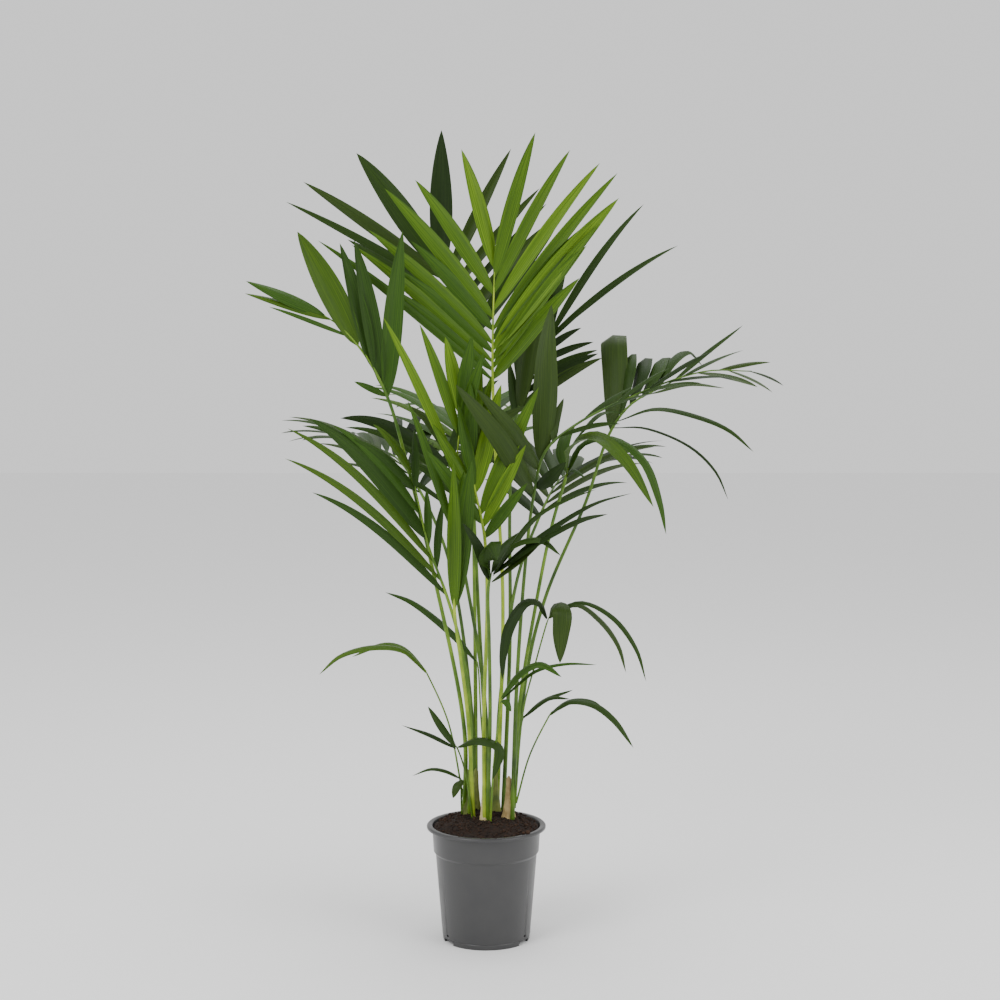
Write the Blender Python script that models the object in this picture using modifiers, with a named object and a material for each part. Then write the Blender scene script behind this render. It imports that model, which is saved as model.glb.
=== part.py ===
"""A potted kentia palm: a clump of stems in a nursery pot, with its petioles and frond blades."""

import math

import bmesh
import bpy
from mathutils import Matrix, Vector
from mathutils.bvhtree import BVHTree

# Metres, +Z up, the pot's axis at the origin and its underside at z = 0. The front looks towards -Y.
POT_HEIGHT = 0.176
RIM_RADIUS = 0.0900
COLLAR_TOP_RADIUS = 0.0815
COLLAR_FOOT_RADIUS = 0.0795
COLLAR_FOOT = 0.136
BODY_TOP_RADIUS = 0.0765
BASE_RADIUS = 0.0655
WALL = 0.0016
LIP_DEPTH = 0.005
FOOT_HEIGHT = 0.008
PAD_RADIUS = 0.017
NOTCH_WIDTH = 0.026
NOTCH_ANGLES = (90, 210, 330)
TURN_STEPS = 28

CLEAR = 0.0003
SOIL_EDGE = 0.1695
SOIL_TOP = 0.181
SOIL_PLATEAU = 0.062

BLADE = 0.0018
RIB_WIDTH = 0.005
RIB_CELLS = 26
PEAK = 0.42
STATIONS = (0.4, 0.75)
RISE = 0.24
# How a leaflet is tried where it meets another: clear of its own frond or not, share kept, step forwards.
TRIES = [(True, 1, step) for step in (0, 0.12, -0.12, 0.24, -0.24, 0.36, -0.36)]
TRIES += [(True, 0.85, step) for step in (0, 0.12, -0.12, 0.24, -0.24)]
TRIES += [(False, keep, step) for keep in (1, 0.85, 0.7, 0.55, 0.4) for step in (0, 0.12, -0.12, 0.24)]
PETIOLE_RADIUS = 0.0029
PETIOLE_TOP_RADIUS = 0.0021
SMALL_PETIOLE_RADIUS = 0.0016
STEM_RING = 0.0078

# Each stem: place on the soil, height, lean of its top, radius at the soil and at its top.
STEMS = {
    "stem_left": ((-0.030, 0.024), 0.075, (-0.001, -0.004), 0.0125, 0.0125),
    "stem_middle": ((-0.003, -0.012), 0.060, (0.000, -0.003), 0.0110, 0.0115),
    "stem_rear": ((0.013, 0.036), 0.080, (0.002, 0.004), 0.0125, 0.0125),
    "stem_right": ((0.034, 0.002), 0.070, (0.004, -0.002), 0.0150, 0.0130),
    "stem_back": ((-0.016, 0.046), 0.070, (-0.001, 0.004), 0.0105, 0.0105),
}

# Each frond: its stem, the way its leaflets face, the leaflets' lift and droop in degrees, its spine
# from the soil to the rib's tip, and which point of the spine is the top of the petiole. A leaflet is
# side (1 right, -1 left), place along the rib, spread from the rib in degrees, length and width.
# A strap is a leaflet that arches on its own line: its width, then the points that it passes.
FRONDS = {
    "frond_centre": dict(
        stem="stem_rear", face=(0, -1, 0.1), lift=12, droop=8, knee=3,
        spine=((0.016, 0.040, 0.184), (0.025, 0.035, 0.512), (0.016, 0.030, 0.694), (0.010, 0.020, 0.837),
               (0.010, 0.015, 0.911), (0.013, 0.010, 1.019)),
        leaflets=((1, 0.88, 12, 0.220, 0.022), (1, 0.75, 24, 0.237, 0.019), (1, 0.61, 32, 0.267, 0.019),
                  (1, 0.45, 35, 0.295, 0.019), (1, 0.29, 37, 0.292, 0.030), (1, 0.14, 34, 0.267, 0.020),
                  (-1, 0.95, 15, 0.180, 0.023), (-1, 0.74, 34, 0.204, 0.023), (-1, 0.55, 39, 0.249, 0.024),
                  (-1, 0.34, 45, 0.250, 0.021), (-1, 0.19, 47, 0.273, 0.019), (-1, 0.04, 48, 0.333, 0.015),
                  (1, 0.37, 36, 0.220, 0.021), (1, 0.21, 37, 0.220, 0.023), (1, 0.05, 38, 0.200, 0.024),
                  (-1, 0.27, 46, 0.190, 0.021), (-1, 0.45, 41, 0.180, 0.022), (-1, 0.12, 48, 0.200, 0.019))),
    "frond_back": dict(
        stem="stem_rear", face=(0, -1, 0.1), lift=8, droop=5, knee=3,
        spine=((0.007, 0.050, 0.181), (-0.010, 0.090, 0.441), (-0.022, 0.120, 0.686), (-0.032, 0.140, 0.885),
               (-0.061, 0.150, 0.985), (-0.072, 0.150, 1.020)),
        leaflets=((1, 0.94, 18, 0.209, 0.036), (-1, 0.91, 17, 0.221, 0.037), (-1, 0.80, 37, 0.263, 0.021),
                  (-1, 0.69, 44, 0.282, 0.013), (1, 0.78, 42, 0.226, 0.019), (1, 0.65, 56, 0.212, 0.016),
                  (1, 0.46, 56, 0.216, 0.012), (-1, 0.17, 32, 0.160, 0.019), (1, 0.06, 53, 0.225, 0.024),
                  (1, 0.27, 55, 0.200, 0.020), (-1, 0.32, 36, 0.180, 0.021), (-1, 0.52, 41, 0.190, 0.018))),
    "frond_left": dict(
        stem="stem_left", face=(0.3, -1, 0.3), lift=10, droop=5, knee=4,
        spine=((-0.034, 0.026, 0.186), (-0.033, 0.000, 0.321), (-0.077, -0.030, 0.559), (-0.118, -0.050, 0.737),
               (-0.142, -0.060, 0.822), (-0.174, -0.065, 0.884), (-0.213, -0.070, 0.928), (-0.241, -0.070, 0.946)),
        leaflets=((1, 0.01, 31, 0.242, 0.030), (1, 0.12, 17, 0.214, 0.027), (1, 0.30, 15, 0.185, 0.025),
                  (1, 0.54, 14, 0.184, 0.037), (1, 0.93, -9, 0.124, 0.019), (-1, 0.88, 17, 0.127, 0.013),
                  (-1, 0.02, 40, 0.055, 0.010), (-1, 0.64, 28, 0.128, 0.007))),
    "frond_right_back": dict(
        stem="stem_rear", face=(-0.3, -1, 0.4), lift=5, droop=15, knee=3,
        spine=((0.025, 0.040, 0.184), (0.036, 0.080, 0.443), (0.036, 0.110, 0.656), (0.042, 0.120, 0.771),
               (0.067, 0.130, 0.840), (0.096, 0.140, 0.905)),
        leaflets=((-1, 0.96, -10, 0.256, 0.013), (1, 0.99, 28, 0.244, 0.012), (1, 0.91, 24, 0.223, 0.007),
                  (1, 0.80, 30, 0.075, 0.013), (1, 0.69, 44, 0.096, 0.012), (1, 0.51, 43, 0.116, 0.012),
                  (-1, 0.85, 14, 0.178, 0.021), (-1, 0.51, 19, 0.207, 0.019), (-1, 0.06, 25, 0.096, 0.015), (1, 0.20, 38, 0.150, 0.018),
                  (1, 0.36, 40, 0.130, 0.016), (-1, 0.28, 24, 0.160, 0.020), (-1, 0.68, 18, 0.190, 0.019), (-1, 0.38, 12, 0.240, 0.030), (-1, 0.16, 8, 0.230, 0.032))),
    "frond_low_left": dict(
        stem="stem_left", face=(0.2, -1, 0.4), lift=10, droop=25, knee=3,
        spine=((-0.026, 0.020, 0.187), (-0.024, -0.010, 0.339), (-0.036, -0.035, 0.448), (-0.057, -0.050, 0.529),
               (-0.084, -0.060, 0.607), (-0.097, -0.065, 0.666), (-0.108, -0.070, 0.718)),
        leaflets=((-1, 0.02, 23, 0.265, 0.014), (-1, 0.14, 22, 0.307, 0.013), (-1, 0.29, 19, 0.304, 0.014),
                  (-1, 0.47, 21, 0.257, 0.027), (-1, 0.65, 24, 0.194, 0.014), (-1, 0.84, 29, 0.126, 0.014),
                  (-1, 0.98, 18, 0.095, 0.013), (1, 0.42, 16, 0.088, 0.012), (1, 0.23, 22, 0.108, 0.012),
                  (1, 0.85, 9, 0.100, 0.013))),
    "frond_dark_left": dict(
        stem="stem_rear", face=(0.2, -1, 0.6), lift=5, droop=40, knee=3,
        spine=((0.004, 0.045, 0.182), (-0.004, 0.050, 0.371), (-0.031, 0.060, 0.539), (-0.052, 0.065, 0.645),
               (-0.058, 0.070, 0.721), (-0.067, 0.070, 0.751)),
        leaflets=((-1, 0.62, 45, 0.188, 0.021), (-1, 0.82, 11, 0.096, 0.013), (-1, 0.24, 39, 0.083, 0.013),
                  (-1, 0.02, 48, 0.150, 0.008), (-1, 0.42, 46, 0.185, 0.013),
                  (1, 0.20, 42, 0.150, 0.021), (1, 0.45, 38, 0.170, 0.021), (1, 0.70, 30, 0.150, 0.020))),
    "frond_arch": dict(
        stem="stem_right", face=(-0.2, -0.5, 1), lift=10, droop=15, knee=3, strap_face=(0, -1, 0.3),
        spine=((0.039, -0.010, 0.187), (0.046, -0.030, 0.403), (0.059, -0.050, 0.590), (0.070, -0.060, 0.681),
               (0.086, -0.065, 0.744), (0.129, -0.070, 0.783), (0.223, -0.070, 0.830), (0.317, -0.070, 0.861),
               (0.384, -0.070, 0.861)),
        leaflets=((1, 0.99, 41, 0.062, 0.007), (1, 0.91, 50, 0.092, 0.008), (1, 0.80, 49, 0.114, 0.012),
                  (1, 0.68, 30, 0.105, 0.012), (1, 0.56, 20, 0.100, 0.012), (1, 0.42, 15, 0.095, 0.012),
                  (1, 0.24, 42, 0.126, 0.013), (-1, 0.35, 14, 0.090, 0.012), (-1, 0.48, 9, 0.095, 0.012),
                  (-1, 0.61, 6, 0.108, 0.012), (-1, 0.74, 12, 0.100, 0.011), (-1, 0.88, 16, 0.080, 0.010)),
        straps=((0.030, (0.069, -0.060, 0.682), (0.018, -0.145, 0.772), (-0.041, -0.195, 0.848)),
                (0.023, (0.077, -0.060, 0.717), (0.037, -0.135, 0.781), (-0.012, -0.175, 0.841)),
                (0.036, (0.080, -0.062, 0.729), (0.086, -0.055, 0.819), (0.089, -0.045, 0.898), (0.096, -0.030, 0.957)),
                (0.013, (0.098, -0.065, 0.757), (0.102, -0.050, 0.789), (0.114, -0.030, 0.820)),
                (0.021, (0.073, -0.060, 0.691), (0.093, -0.085, 0.708), (0.115, -0.100, 0.732)))),
    "frond_front_left": dict(
        stem="stem_left", face=(0, -1, 0.1), lift=10, droop=6, knee=3,
        spine=((-0.019, 0.005, 0.183), (-0.027, -0.030, 0.343), (-0.037, -0.060, 0.437), (-0.045, -0.085, 0.508),
               (-0.048, -0.100, 0.619), (-0.042, -0.110, 0.721), (-0.035, -0.115, 0.808)),
        leaflets=((-1, 0.03, -2, 0.244, 0.021), (1, 0.04, 8, 0.238, 0.030), (-1, 0.71, 27, 0.245, 0.015),
                  (-1, 0.88, 22, 0.169, 0.016), (-1, 0.98, 14, 0.113, 0.021), (1, 0.98, 3, 0.119, 0.022),
                  (1, 0.86, 10, 0.134, 0.019), (1, 0.38, 8, 0.109, 0.013), (-1, 0.42, 18, 0.202, 0.014))),
    "frond_inner": dict(
        stem="stem_middle", face=(0.2, -1, 0.1), lift=10, droop=4, knee=3,
        spine=((-0.002, -0.012, 0.185), (-0.003, -0.050, 0.347), (0.002, -0.085, 0.530), (-0.001, -0.100, 0.619),
               (-0.007, -0.105, 0.656), (-0.017, -0.110, 0.704), (-0.022, -0.110, 0.743)),
        leaflets=((1, 0.31, 34, 0.202, 0.025), (1, 0.16, 35, 0.135, 0.019), (1, 0.03, 45, 0.101, 0.018),
                  (1, 0.57, 24, 0.160, 0.024), (1, 0.78, 17, 0.143, 0.021), (-1, 0.94, -4, 0.116, 0.021),
                  (-1, 0.64, 2, 0.130, 0.018), (1, 0.95, 10, 0.150, 0.021),
                  (-1, 0.20, 26, 0.140, 0.021), (-1, 0.42, 16, 0.140, 0.020))),
    "frond_front_dark": dict(
        stem="stem_middle", face=(-0.1, -0.5, 1), knee=3,
        spine=((0.001, -0.012, 0.188), (0.006, -0.060, 0.349), (0.005, -0.100, 0.474), (0.004, -0.125, 0.553),
               (0.009, -0.135, 0.578)),
        straps=((0.018, (0.006, -0.130, 0.565), (-0.011, -0.140, 0.617), (-0.032, -0.145, 0.649)),
                (0.030, (0.006, -0.130, 0.568), (0.004, -0.165, 0.612), (0.011, -0.200, 0.627), (0.017, -0.230, 0.607)),
                (0.018, (0.011, -0.135, 0.573), (0.038, -0.160, 0.618), (0.078, -0.180, 0.629), (0.106, -0.190, 0.608)),
                (0.015, (0.011, -0.135, 0.575), (0.070, -0.140, 0.657), (0.117, -0.145, 0.683), (0.158, -0.150, 0.698)),
                (0.019, (0.012, -0.137, 0.577), (0.084, -0.170, 0.639), (0.153, -0.190, 0.682), (0.204, -0.200, 0.697)),
                (0.018, (0.012, -0.137, 0.575), (0.077, -0.180, 0.628), (0.134, -0.210, 0.661), (0.170, -0.220, 0.670)),
                (0.019, (0.009, -0.130, 0.563), (0.043, -0.150, 0.594), (0.084, -0.155, 0.633), (0.100, -0.150, 0.651)),
                (0.015, (0.009, -0.130, 0.577), (0.028, -0.120, 0.615), (0.059, -0.115, 0.639)))),
    "frond_low_right": dict(
        stem="stem_right", face=(0.1, -0.5, 1), knee=4,
        spine=((0.036, 0.000, 0.182), (0.051, -0.010, 0.367), (0.071, -0.025, 0.498), (0.096, -0.040, 0.630),
               (0.116, -0.050, 0.702), (0.120, -0.052, 0.719)),
        straps=((0.030, (0.117, -0.050, 0.707), (0.123, -0.075, 0.752), (0.155, -0.100, 0.768), (0.198, -0.130, 0.735),
                 (0.238, -0.150, 0.672)),
                (0.018, (0.119, -0.050, 0.713), (0.140, -0.060, 0.755), (0.183, -0.070, 0.764), (0.227, -0.085, 0.734),
                 (0.251, -0.095, 0.674), (0.260, -0.100, 0.627)),
                (0.010, (0.117, -0.050, 0.705), (0.127, -0.060, 0.717), (0.144, -0.075, 0.707)),
                (0.019, (0.117, -0.050, 0.715), (0.112, -0.030, 0.741), (0.118, -0.010, 0.763), (0.132, 0.020, 0.777)))),
    "frond_right": dict(
        stem="stem_right", face=(-0.3, -0.4, 1), knee=4,
        spine=((0.037, 0.010, 0.179), (0.062, 0.030, 0.406), (0.090, 0.035, 0.518), (0.151, 0.050, 0.661),
               (0.187, 0.060, 0.764), (0.217, 0.060, 0.805), (0.262, 0.060, 0.831), (0.295, 0.060, 0.847)),
        straps=((0.042, (0.188, 0.060, 0.767), (0.194, 0.085, 0.842), (0.194, 0.120, 0.904), (0.202, 0.190, 0.881),
                 (0.211, 0.230, 0.827)),
                (0.018, (0.202, 0.060, 0.787), (0.218, 0.080, 0.857), (0.222, 0.110, 0.879), (0.229, 0.160, 0.857)),
                (0.025, (0.217, 0.060, 0.805), (0.236, 0.080, 0.854), (0.243, 0.115, 0.872), (0.254, 0.170, 0.857)),
                (0.025, (0.235, 0.060, 0.816), (0.258, 0.075, 0.856), (0.269, 0.105, 0.873), (0.285, 0.150, 0.857)),
                (0.019, (0.254, 0.060, 0.826), (0.281, 0.080, 0.869), (0.307, 0.100, 0.884), (0.335, 0.130, 0.858)),
                (0.015, (0.280, 0.060, 0.840), (0.329, 0.060, 0.883), (0.385, 0.055, 0.925)),
                (0.012, (0.198, 0.055, 0.781), (0.252, 0.030, 0.801), (0.318, 0.010, 0.789), (0.361, 0.000, 0.770),
                 (0.396, -0.010, 0.739)),
                (0.007, (0.193, 0.055, 0.771), (0.238, 0.030, 0.772), (0.304, 0.020, 0.745), (0.342, 0.010, 0.708),
                 (0.360, 0.000, 0.667)),
                (0.012, (0.246, 0.055, 0.822), (0.304, 0.030, 0.838), (0.354, 0.010, 0.833)),
                (0.013, (0.209, 0.055, 0.795), (0.170, 0.020, 0.794), (0.132, 0.000, 0.757)))),
    "small_high": dict(
        stem="stem_middle", face=(0, -0.6, 1), knee=3,
        spine=((0.043, -0.010, 0.215), (0.055, -0.050, 0.359), (0.073, -0.075, 0.437), (0.089, -0.090, 0.498),
               (0.092, -0.091, 0.506)),
        straps=((0.018, (0.089, -0.090, 0.503), (0.076, -0.095, 0.528), (0.058, -0.100, 0.529), (0.035, -0.105, 0.496),
                 (0.025, -0.110, 0.452), (0.024, -0.110, 0.417)),
                (0.028, (0.092, -0.090, 0.504), (0.103, -0.100, 0.525), (0.110, -0.115, 0.517), (0.108, -0.120, 0.484),
                 (0.107, -0.120, 0.443)),
                (0.013, (0.093, -0.090, 0.507), (0.131, -0.080, 0.523), (0.167, -0.070, 0.498), (0.194, -0.065, 0.460),
                 (0.206, -0.060, 0.418)),
                (0.009, (0.093, -0.090, 0.509), (0.136, -0.100, 0.529), (0.182, -0.110, 0.509), (0.216, -0.120, 0.465),
                 (0.231, -0.125, 0.417)))),
    "small_left": dict(
        stem="stem_left", face=(0, -0.4, 1), knee=2,
        spine=((-0.035, 0.020, 0.223), (-0.057, -0.005, 0.333), (-0.088, -0.030, 0.412), (-0.092, -0.032, 0.420)),
        straps=((0.015, (-0.088, -0.030, 0.412), (-0.120, -0.040, 0.447), (-0.163, -0.050, 0.455), (-0.214, -0.060, 0.443),
                 (-0.245, -0.065, 0.416)),
                (0.013, (-0.089, -0.030, 0.415), (-0.125, -0.020, 0.448), (-0.154, -0.010, 0.452), (-0.201, 0.000, 0.431)))),
    "small_front": dict(
        stem="stem_left", face=(0, -0.7, 1), knee=2,
        spine=((-0.020, 0.000, 0.194), (-0.032, -0.020, 0.263), (-0.043, -0.035, 0.300), (-0.046, -0.037, 0.305)),
        straps=((0.013, (-0.045, -0.036, 0.302), (-0.067, -0.040, 0.334), (-0.086, -0.045, 0.365)),
                (0.010, (-0.045, -0.036, 0.300), (-0.083, -0.050, 0.323), (-0.125, -0.055, 0.339)),
                (0.018, (-0.042, -0.037, 0.302), (-0.012, -0.055, 0.316), (0.019, -0.065, 0.307), (0.010, -0.070, 0.260)))),
    "small_right": dict(
        stem="stem_right", face=(0, -0.5, 1), knee=2,
        spine=((0.045, -0.012, 0.223), (0.065, -0.030, 0.288), (0.093, -0.050, 0.351), (0.097, -0.051, 0.358)),
        straps=((0.013, (0.095, -0.050, 0.353), (0.121, -0.060, 0.374), (0.156, -0.070, 0.373), (0.187, -0.080, 0.352),
                 (0.216, -0.090, 0.312)),
                (0.012, (0.096, -0.050, 0.356), (0.127, -0.040, 0.372), (0.162, -0.030, 0.368), (0.185, -0.025, 0.343)))),
    "small_grey": dict(
        stem="stem_right", face=(0, -0.5, 1), knee=2,
        spine=((0.036, 0.020, 0.189), (0.048, 0.010, 0.287), (0.055, 0.000, 0.337), (0.057, -0.001, 0.341)),
        straps=((0.009, (0.055, 0.000, 0.338), (0.088, 0.010, 0.363), (0.131, 0.020, 0.377)),
                (0.009, (0.055, 0.000, 0.340), (0.095, -0.020, 0.372), (0.125, -0.030, 0.373)))),
    "small_middle": dict(
        stem="stem_middle", face=(0, -0.5, 1), knee=2,
        spine=((0.006, -0.020, 0.190), (0.012, -0.050, 0.285), (0.022, -0.080, 0.378), (0.024, -0.082, 0.386)),
        straps=((0.016, (0.022, -0.080, 0.384), (0.050, -0.090, 0.423), (0.079, -0.100, 0.438), (0.110, -0.110, 0.421)),
                (0.007, (0.024, -0.080, 0.383), (0.072, -0.075, 0.423), (0.116, -0.070, 0.433), (0.163, -0.060, 0.430)),
                (0.012, (0.022, -0.080, 0.378), (0.028, -0.095, 0.384), (0.037, -0.100, 0.368)))),
    "small_rear": dict(
        stem="stem_rear", face=(0, -0.6, 1), knee=2,
        spine=((0.004, 0.045, 0.182), (-0.008, 0.050, 0.325), (-0.014, 0.050, 0.414), (-0.017, 0.050, 0.420)),
        straps=((0.015, (-0.016, 0.050, 0.416), (-0.051, 0.045, 0.458), (-0.112, 0.030, 0.509), (-0.152, 0.020, 0.526)),)),
}

# Fronds at the rear, by rule: stem, direction from above in degrees (90 is straight back), height of
# the petiole's top, how far out it and the rib's tip are, leaflet pairs and the longest leaflet.
REAR_FRONDS = {
    "rear_left": ("stem_back", 128, 0.66, 0.16, 0.30, 8, 0.24),
    "rear_middle": ("stem_back", 97, 0.70, 0.20, 0.36, 9, 0.26),
    "rear_right": ("stem_rear", 62, 0.62, 0.17, 0.31, 8, 0.24),
}


def unit(v):
    return v.normalized()


def smooth(points, count):
    """Even points on a smooth curve (centripetal Catmull-Rom) through the given ones."""
    p = [Vector(q) for q in points]
    if len(p) == 2:
        return [p[0].lerp(p[1], k / (count - 1)) for k in range(count)]
    p = [2 * p[0] - p[1]] + p + [2 * p[-1] - p[-2]]
    fine = []
    for i in range(1, len(p) - 2):
        q = p[i - 1:i + 3]
        k = [0.0]
        for a, b in zip(q, q[1:]):
            k.append(k[-1] + math.sqrt((b - a).length))
        for step in range(20):
            t = k[1] + (k[2] - k[1]) * step / 20
            a = [q[j].lerp(q[j + 1], (t - k[j]) / (k[j + 1] - k[j])) for j in range(3)]
            b = [a[j].lerp(a[j + 1], (t - k[j]) / (k[j + 2] - k[j])) for j in range(2)]
            fine.append(b[0].lerp(b[1], (t - k[1]) / (k[2] - k[1])))
    fine.append(p[-2])
    return evenly(fine, count)


def evenly(line, count):
    """The same line with its points spread evenly."""
    run = [0.0]
    for a, b in zip(line, line[1:]):
        run.append(run[-1] + (b - a).length)
    out = []
    i = 0
    for k in range(count):
        want = run[-1] * k / (count - 1)
        while i < len(line) - 2 and run[i + 1] < want:
            i += 1
        out.append(line[i].lerp(line[i + 1], (want - run[i]) / max(run[i + 1] - run[i], 1e-9)))
    return out


def place(line, share):
    """Point and direction at this share of an evenly spaced line."""
    last = len(line) - 1
    i = min(int(share * last), last - 1)
    return line[i].lerp(line[i + 1], share * last - i), unit(line[min(i + 2, last)] - line[max(i - 1, 0)])


def rear_frond(stem, azimuth, height, out, tip, pairs, longest):
    """A frond at the back of the clump, that rises, arches outwards and droops its leaflets in pairs."""
    way = Vector((math.cos(math.radians(azimuth)), math.sin(math.radians(azimuth)), 0))
    foot = Vector((STEMS[stem][0][0], STEMS[stem][0][1], SOIL_TOP))
    rise = height - SOIL_TOP
    spine = [foot]
    for share, up in ((0.12, 0.40), (0.50, 0.80)):
        spine.append(foot.lerp(way * out, share) + Vector((0, 0, 0)))
        spine[-1].z = SOIL_TOP + rise * up
    spine.append(way * out + Vector((0, 0, height)))
    spine.append(way * (out + (tip - out) * 0.5) + Vector((0, 0, height + 0.055)))
    spine.append(way * tip + Vector((0, 0, height + 0.070)))
    leaflets = []
    for k in range(pairs):
        share = (k + 0.6) / pairs
        reach = longest * (0.55 + 0.75 * share - 0.75 * share * share * share)
        for side in (1, -1):
            place_on_rib = min(share + 0.02 * side, 0.98)
            leaflets.append((side, place_on_rib, 58 - 40 * share, reach, 0.018))
    return dict(stem=stem, face=tuple(Vector((0, 0, 1)) - way * 0.45), lift=14, droop=32, knee=3,
                spine=tuple(tuple(p) for p in spine), leaflets=tuple(leaflets))


def half_width(share, width):
    """Half a leaflet's width at this share of its length: narrow at the foot, pointed at the tip."""
    fall = 0.6 * (1 - PEAK) / PEAK
    full = PEAK ** 0.6 * (1 - PEAK) ** fall
    return width / 2 * share ** 0.6 * (1 - share) ** fall / full


def leaflet_lines(line, frond, leaflet, nudge):
    """Centre points and cross directions of a leaflet at its stations and its tip."""
    side, share, spread, length, width = leaflet
    p, d = place(line, share)
    face = Vector(frond["face"])
    n = unit(face - face.dot(d) * d)
    s = d.cross(n) * side
    lift = math.radians(frond["lift"])
    spread = math.radians(spread)
    outwards = math.sin(spread) * math.cos(lift)
    forwards = math.sin(spread) * math.sin(lift)
    if math.hypot(outwards, forwards) < RISE:
        forwards = math.sqrt(max(RISE * RISE - outwards * outwards, 0))
    forwards += nudge
    go = unit(math.cos(spread) * d + s * outwards + n * forwards)
    across = d - d.dot(go) * go
    if abs(math.sin(spread)) < RISE:
        across = (s - s.dot(go) * go) * (-1 if spread > 0 else 1)
    across = unit(across)
    steps = 8
    turn_axis = go.cross(Vector((0, 0, -1)))
    centres = [p]
    crosses = [across]
    for k in range(steps):
        if turn_axis.length > 0.05:
            angle = math.radians(frond["droop"]) / steps * 2 * (k + 0.5) / steps
            bend = Matrix.Rotation(angle, 3, turn_axis)
            go = bend @ go
            across = bend @ across
        centres.append(centres[-1] + go * length / steps)
        crosses.append(across)
    return centres, crosses


def strap_lines(strap, frond, nudge):
    """The same for a strap, whose centre line is given."""
    centres = smooth(strap[1:], 9)
    face = Vector(frond.get("strap_face", frond["face"]))
    shift = unit(face) * nudge * 0.08
    centres = [p + shift * k / 8 for k, p in enumerate(centres)]
    crosses = []
    for k in range(9):
        go = unit(centres[min(k + 1, 8)] - centres[max(k - 1, 0)])
        side = go.cross(face)
        if side.length < 0.2:
            side = go.cross(Vector((1, 0, 0)))
        side = unit(side)
        if crosses and side.dot(crosses[-1]) < 0:
            side = -side
        crosses.append(side)
    return centres, crosses


def outline(centres, crosses, width, keep, spare):
    """A leaflet's pairs of edge points and its tip, for this share of its length."""
    rows = []
    for share in STATIONS:
        at = share * keep * 8
        k = min(int(at), 7)
        c = centres[k].lerp(centres[k + 1], at - k)
        across = crosses[k].lerp(crosses[k + 1], at - k).normalized()
        reach = half_width(share, width) + spare
        rows.append((c - across * reach, c + across * reach))
    at = min(keep * 8, 7.999)
    k = int(at)
    return rows, centres[k].lerp(centres[k + 1], at - k)


def thick_tree(rows, tip, base, reach):
    """A search tree of a leaflet swelled to both sides by reach."""
    ring = [base[0]] + [row[0] for row in rows] + [tip] + [row[1] for row in reversed(rows)] + [base[1]]
    normal = (rows[0][1] - base[0]).cross(rows[0][0] - base[1])
    normal = unit(normal) if normal.length > 1e-9 else Vector((0, 0, 1))
    tip_normal = (rows[1][1] - rows[1][0]).cross(tip - rows[1][0])
    tip_normal = unit(tip_normal) if tip_normal.length > 1e-12 else normal
    if tip_normal.dot(normal) < 0:
        tip_normal = -tip_normal
    normals = [normal, (normal + tip_normal) / 2, tip_normal, tip_normal, tip_normal,
               (normal + tip_normal) / 2, normal]
    count = len(ring)
    points = [p + n * reach for p, n in zip(ring, normals)] + [p - n * reach for p, n in zip(ring, normals)]
    cells = ((0, 1, 5, 6), (1, 2, 4, 5), (2, 3, 4))
    faces = list(cells)
    faces += [tuple(k + count for k in cell) for cell in cells]
    faces += [(k, (k + 1) % count, (k + 1) % count + count, k + count) for k in range(count)]
    return BVHTree.FromPolygons(points, faces)


def tube_tree(points, radii):
    """A search tree of a round limb."""
    verts = []
    faces = []
    for k in range(len(points)):
        d = unit(points[min(k + 1, len(points) - 1)] - points[max(k - 1, 0)])
        s = unit(d.cross(Vector((0.3, 1, 0.1))))
        n = d.cross(s)
        for step in range(8):
            turn = math.tau * step / 8
            verts.append(points[k] + (s * math.cos(turn) + n * math.sin(turn)) * radii[k])
    for k in range(len(points) - 1):
        for step in range(8):
            after = (step + 1) % 8
            faces.append((k * 8 + step, k * 8 + after, k * 8 + 8 + after, k * 8 + 8 + step))
    faces.append(tuple(range(8)))
    faces.append(tuple(range(len(verts) - 8, len(verts))))
    return BVHTree.FromPolygons(verts, faces)


def material(name, colour, roughness):
    made = bpy.data.materials.new(name)
    made.use_nodes = True
    shader = made.node_tree.nodes["Principled BSDF"]
    shader.inputs["Base Color"].default_value = (*colour, 1)
    shader.inputs["Roughness"].default_value = roughness
    shader.inputs["Metallic"].default_value = 0
    return made


def limb(name, points, radii, finish, resolution):
    """A tapering limb: a curve with a round section and filled caps."""
    curve = bpy.data.curves.new(name, "CURVE")
    curve.dimensions = "3D"
    curve.bevel_depth = 1.0
    curve.bevel_resolution = resolution
    curve.use_fill_caps = True
    spline = curve.splines.new("POLY")
    spline.points.add(len(points) - 1)
    for slot, p, r in zip(spline.points, points, radii):
        slot.co = (*p, 1)
        slot.radius = r
    curve.materials.append(finish)
    made = bpy.data.objects.new(name, curve)
    parts.objects.link(made)
    return made


def turned(name, profile, finish):
    """A turned piece: its profile with a Screw modifier."""
    mesh = bpy.data.meshes.new(name)
    shape = bmesh.new()
    verts = [shape.verts.new((r, 0, z)) for r, z in profile]
    for a, b in zip(verts, verts[1:]):
        shape.edges.new((a, b))
    shape.to_mesh(mesh)
    shape.free()
    mesh.materials.append(finish)
    made = bpy.data.objects.new(name, mesh)
    parts.objects.link(made)
    screw = made.modifiers.new("Turn", "SCREW")
    screw.axis = "Z"
    screw.steps = TURN_STEPS
    screw.render_steps = TURN_STEPS
    screw.use_merge_vertices = True
    screw.merge_threshold = 0.00005
    screw.use_smooth_shade = True
    return made


for old in list(bpy.data.objects):
    bpy.data.objects.remove(old)
parts = bpy.data.collections.new("potted_kentia_palm")
bpy.context.scene.collection.children.link(parts)
cutters = bpy.data.collections.new("cutters")
bpy.context.scene.collection.children.link(cutters)

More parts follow.
